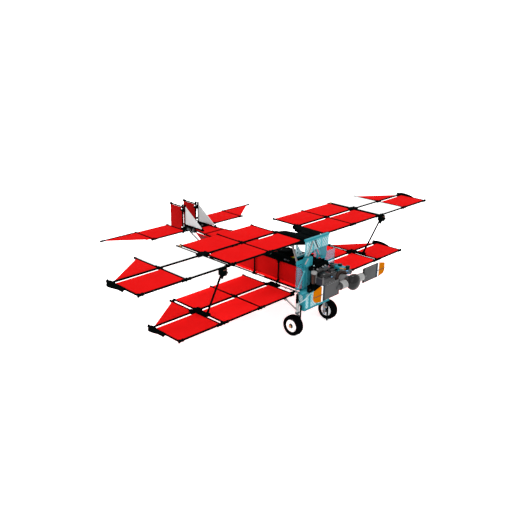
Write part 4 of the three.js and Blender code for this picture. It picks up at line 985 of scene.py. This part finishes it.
# Tail: fin bars and lugs, skid, elevator, fins and rudders
FIN_X, FIN_REAR, FIN_LUGS = 20, 297.5, (-19, -64)
EL_Z, HINGE = -57, 268
p = Piece("tail_bars")
p.rod((-FIN_X, TAIL_Y, EL_Z), (FIN_X, TAIL_Y, EL_Z), ROD)
p.rod((-23, FIN_REAR, EL_Z), (23, FIN_REAR, EL_Z), ROD)
for _ in p.both():
    x = FIN_X
    p.rod((x, 233.6, -53.9), (x, FIN_REAR + 1, -53.9), ROD)
    p.sleeve((x, 232.4, -53.9), (x, 241, -53.9), COLLAR)
    p.rod((x, 236, -55), (x, 236, -48.5), 2)
    p.rod((x, FIN_REAR, -68), (x, FIN_REAR, -7.4), ROD)
    p.sleeve((x, FIN_REAR, -15), (x, FIN_REAR, -6.4), SLEEVE)
    p.sleeve((x, FIN_REAR, -60), (x, FIN_REAR, -51), SLEEVE)
    p.block(x - 4, x + 4, 259, 265.2, -64.5, -52, 0.5, 0.8)
    for area in ((270.8, 273, -64.5, -52), (264, 272, -54.3, -52), (264, 272, -64.5, -59.8)):
        p.block(x - 4, x + 4, *area)
    for z in FIN_LUGS:
        for low, high, end in ((-4.4, -2.9, 308.9), (2.9, 4.4, 308.9), (-4.2, 4.2, 302.6)):
            p.block(x + low, x + high, 294.5, end, z - 2.5, z + 2.5, 0.3, 0.6)
    p.pin((x + 3.6, 262, -57), OUT, 3.2, 3, 2.6, 10, mat=GREY)
    p.pin((x + 3.6, 262, -61.5), OUT, 2.2, 5, 1.6, 10, mat=STEEL)
    p.block(x + 0.6, x + 3.2, 272, 296, -60, -53)
    for y, z, radius, mat in ((276, -61, 3.2, BLACK), (283, -60, 3.4, GREY), (290, -61, 3.2, BLACK)):
        p.turned([(0, radius - 0.4), (0.4, radius), (3.4, radius), (3.8, radius - 0.6)], (x + 0.5, y, z), OUT,
                 mat=mat)
p.done("tail_frame")

p = Piece("skid_parts")
SKID_Y = 222
strut_z = LOW + (SKID_Y - LAST) * TAIL_RISE / TAIL_RUN
foot = [(-13, 0), (13, 0), (13, 3.4), (10.4, 5), (-10.4, 5), (-13, 3.4)]
p.prism([(232 + y * cos(PITCH) - z * sin(PITCH), -140 + y * sin(PITCH) + z * cos(PITCH))
         for y, z in foot], "x", -4, 4, 0.6)
p.rod((0, 231, -136.4), (0, SKID_Y, strut_z + 1), 3, 12)
p.sleeve((0, 223.6, strut_z - 6), (0, 222.2, strut_z - 0.4), 3.8)
p.sleeve((0, 230.4, -134.5), (0, 229, -129), 3.8)
bar_z = strut_z - 5.5
p.rod((-28, SKID_Y, bar_z), (28, SKID_Y, bar_z), ROD)
for x in (-26.5, 26.5):
    p.stub((x, SKID_Y, bar_z), OUT, 3.1, 2, 12, 2.7)
p.done("tail_skid")

EL_REAR, EL_IN, EL_MID, EL_TIP = 333.5, 44.5, 133.5, 226.5
p = Piece("elevator_rods", body="elevator")
p.rod((-EL_MID - 2, HINGE, EL_Z), (EL_MID + 2, HINGE, EL_Z), ROD)
for _ in p.both():
    for x in (EL_IN, EL_MID):
        p.rod((x, HINGE, EL_Z), (x, EL_REAR + 2, EL_Z), ROD)
        p.sleeve((x - 6, HINGE, EL_Z), (x + 6, HINGE, EL_Z), COLLAR)
        p.sleeve((x, EL_REAR - 4, EL_Z), (x, EL_REAR + 2.5, EL_Z), COLLAR)
        p.pin((x, HINGE, EL_Z), UP, 1.6, 3.4, 1.2, 8)
    p.rod((EL_MID, EL_REAR, EL_Z), (EL_TIP, EL_REAR, EL_Z), ROD + 0.3)
    p.sleeve((EL_TIP - 6, EL_REAR, EL_Z), (EL_TIP + 1, EL_REAR, EL_Z), COLLAR)
    for x, mat in ((32, GREY), (37, STEEL)):
        p.stub((x, HINGE, EL_Z), OUT, 3, 1.8, 12, 2.6, mat=mat)
p.done("elevator_frame")

for hand in SIDES:
    p = Piece("elevator_sheets", RED, hand, "elevator")
    p.sheet((EL_IN + ROOM, EL_MID - ROOM), (HINGE + ROOM, EL_REAR), EL_Z)
    near, behind = EL_MID + ROOM, EL_REAR - ROOM
    three_sided(p, [(near, HINGE + 4), (EL_TIP - 10, behind), (near, behind)], EL_Z, 4)
    rod_clips(p, EL_MID, (HINGE + 22, EL_REAR - 14), EL_Z)
    p.done("elevator_panels", "plastic_red")

    x = FIN_X
    p = Piece("fin_sheet", PALE, hand)
    fin = [(236, -51.5), (295, -51.5), (295, -9.8)]
    p.prism(fin, "x", x - 0.8, x + 0.8, 0.3, 0.6)
    p.prism(inset(fin, 4), "x", x - 1.3, x + 1.3, 0.4, 1.5)
    p.rod((x, 293.6, -50.8), (x, 293.6, -12.5), 1.4)
    for y in (256, 282):
        p.block(x - 1.9, x + 1.9, y - 3, y + 3, -51.4, -48)
    p.done("fin", "plastic_pale_grey")

    # The rudder sheet in the darkest copy of the red: painted shade
    p = Piece("rudder_sheet", RUDDER_RED_PAINTED_SHADE, hand, f"rudder_{hand}")
    hinge, rear, low, top = 305.5, 350, -74, -10
    front, notch = hinge + ROOM, hinge + 5.8
    outline = [(front, low), (rear, low), (rear, top - 3.6), (front, top - 3.6)]
    for z in FIN_LUGS:
        outline += [(front, z + 3.4), (notch, z + 3.4), (notch, z - 3.4), (front, z - 3.4)]
    p.prism(outline, "x", x - 0.8, x + 0.8, 0.25)
    p.prism(rectangle(hinge + 9, rear - 4, low + 4, top - 9), "x", x - 1.3, x + 1.3, 0.4, 2)
    for z in (-30, -52):
        p.block(x - 1.7, x + 1.7, rear - 6, rear - 0.4, z - 4, z + 4)
    p.done("rudder", "plastic_red")

    p = Piece("rudder_rods", BLACK, hand, f"rudder_{hand}")
    p.rod((x, hinge, low - 2), (x, hinge, top + 4), ROD)
    for z0, z1 in ((-15, -6.4), (-30, -24), (-58, -52), (-75.6, -69)):
        p.sleeve((x, hinge, z0), (x, hinge, z1), COLLAR)
    p.rod((x, hinge, top - ROD), (x, rear, top - ROD), ROD)
    p.sleeve((x, rear - 6, top - ROD), (x, rear + 1, top - ROD), COLLAR + 0.2)
    p.rod((x, rear - 3, top - ROD), (x, rear - 3, top + 1.4), 1.8)
    p.done("rudder_frame")

# Floor and light: plain pale floor, soft studio light
ground = bpy.data.meshes.new("floor")
ground.from_pydata([(-6, -6, 0), (6, -6, 0), (6, 6, 0), (-6, 6, 0)], [], [(0, 1, 2, 3)])
FLOOR = material("studio_floor", (253, 253, 253), 0.9, 0, 60, 0.02, 0.005)
put(FLOOR.node_tree.nodes["Principled BSDF"], {"Emission Color": (1, 1, 1, 1), "Emission Strength": 0.62})
ground.materials.append(FLOOR)
floor = add_object("floor", ground)

world = bpy.data.worlds.new("studio")
world.use_nodes = True
put(world.node_tree.nodes["Background"], {"Color": (1, 1, 1, 1), "Strength": 1.4})
bpy.context.scene.world = world


def area_light(name, place, size, power):
    light = bpy.data.lights.new(name, "AREA")
    light.size, light.energy = size, power
    lamp = add_object(name, light)
    lamp.location = place
    lamp.rotation_euler = (Vector((0, 0, 0.1)) - Vector(place)).to_track_quat("-Z", "Y").to_euler()


area_light("key", (0.25, 0.35, 1.9), 0.3, 9)
area_light("fill", (-1, -1, 1.2), 1.6, 6)
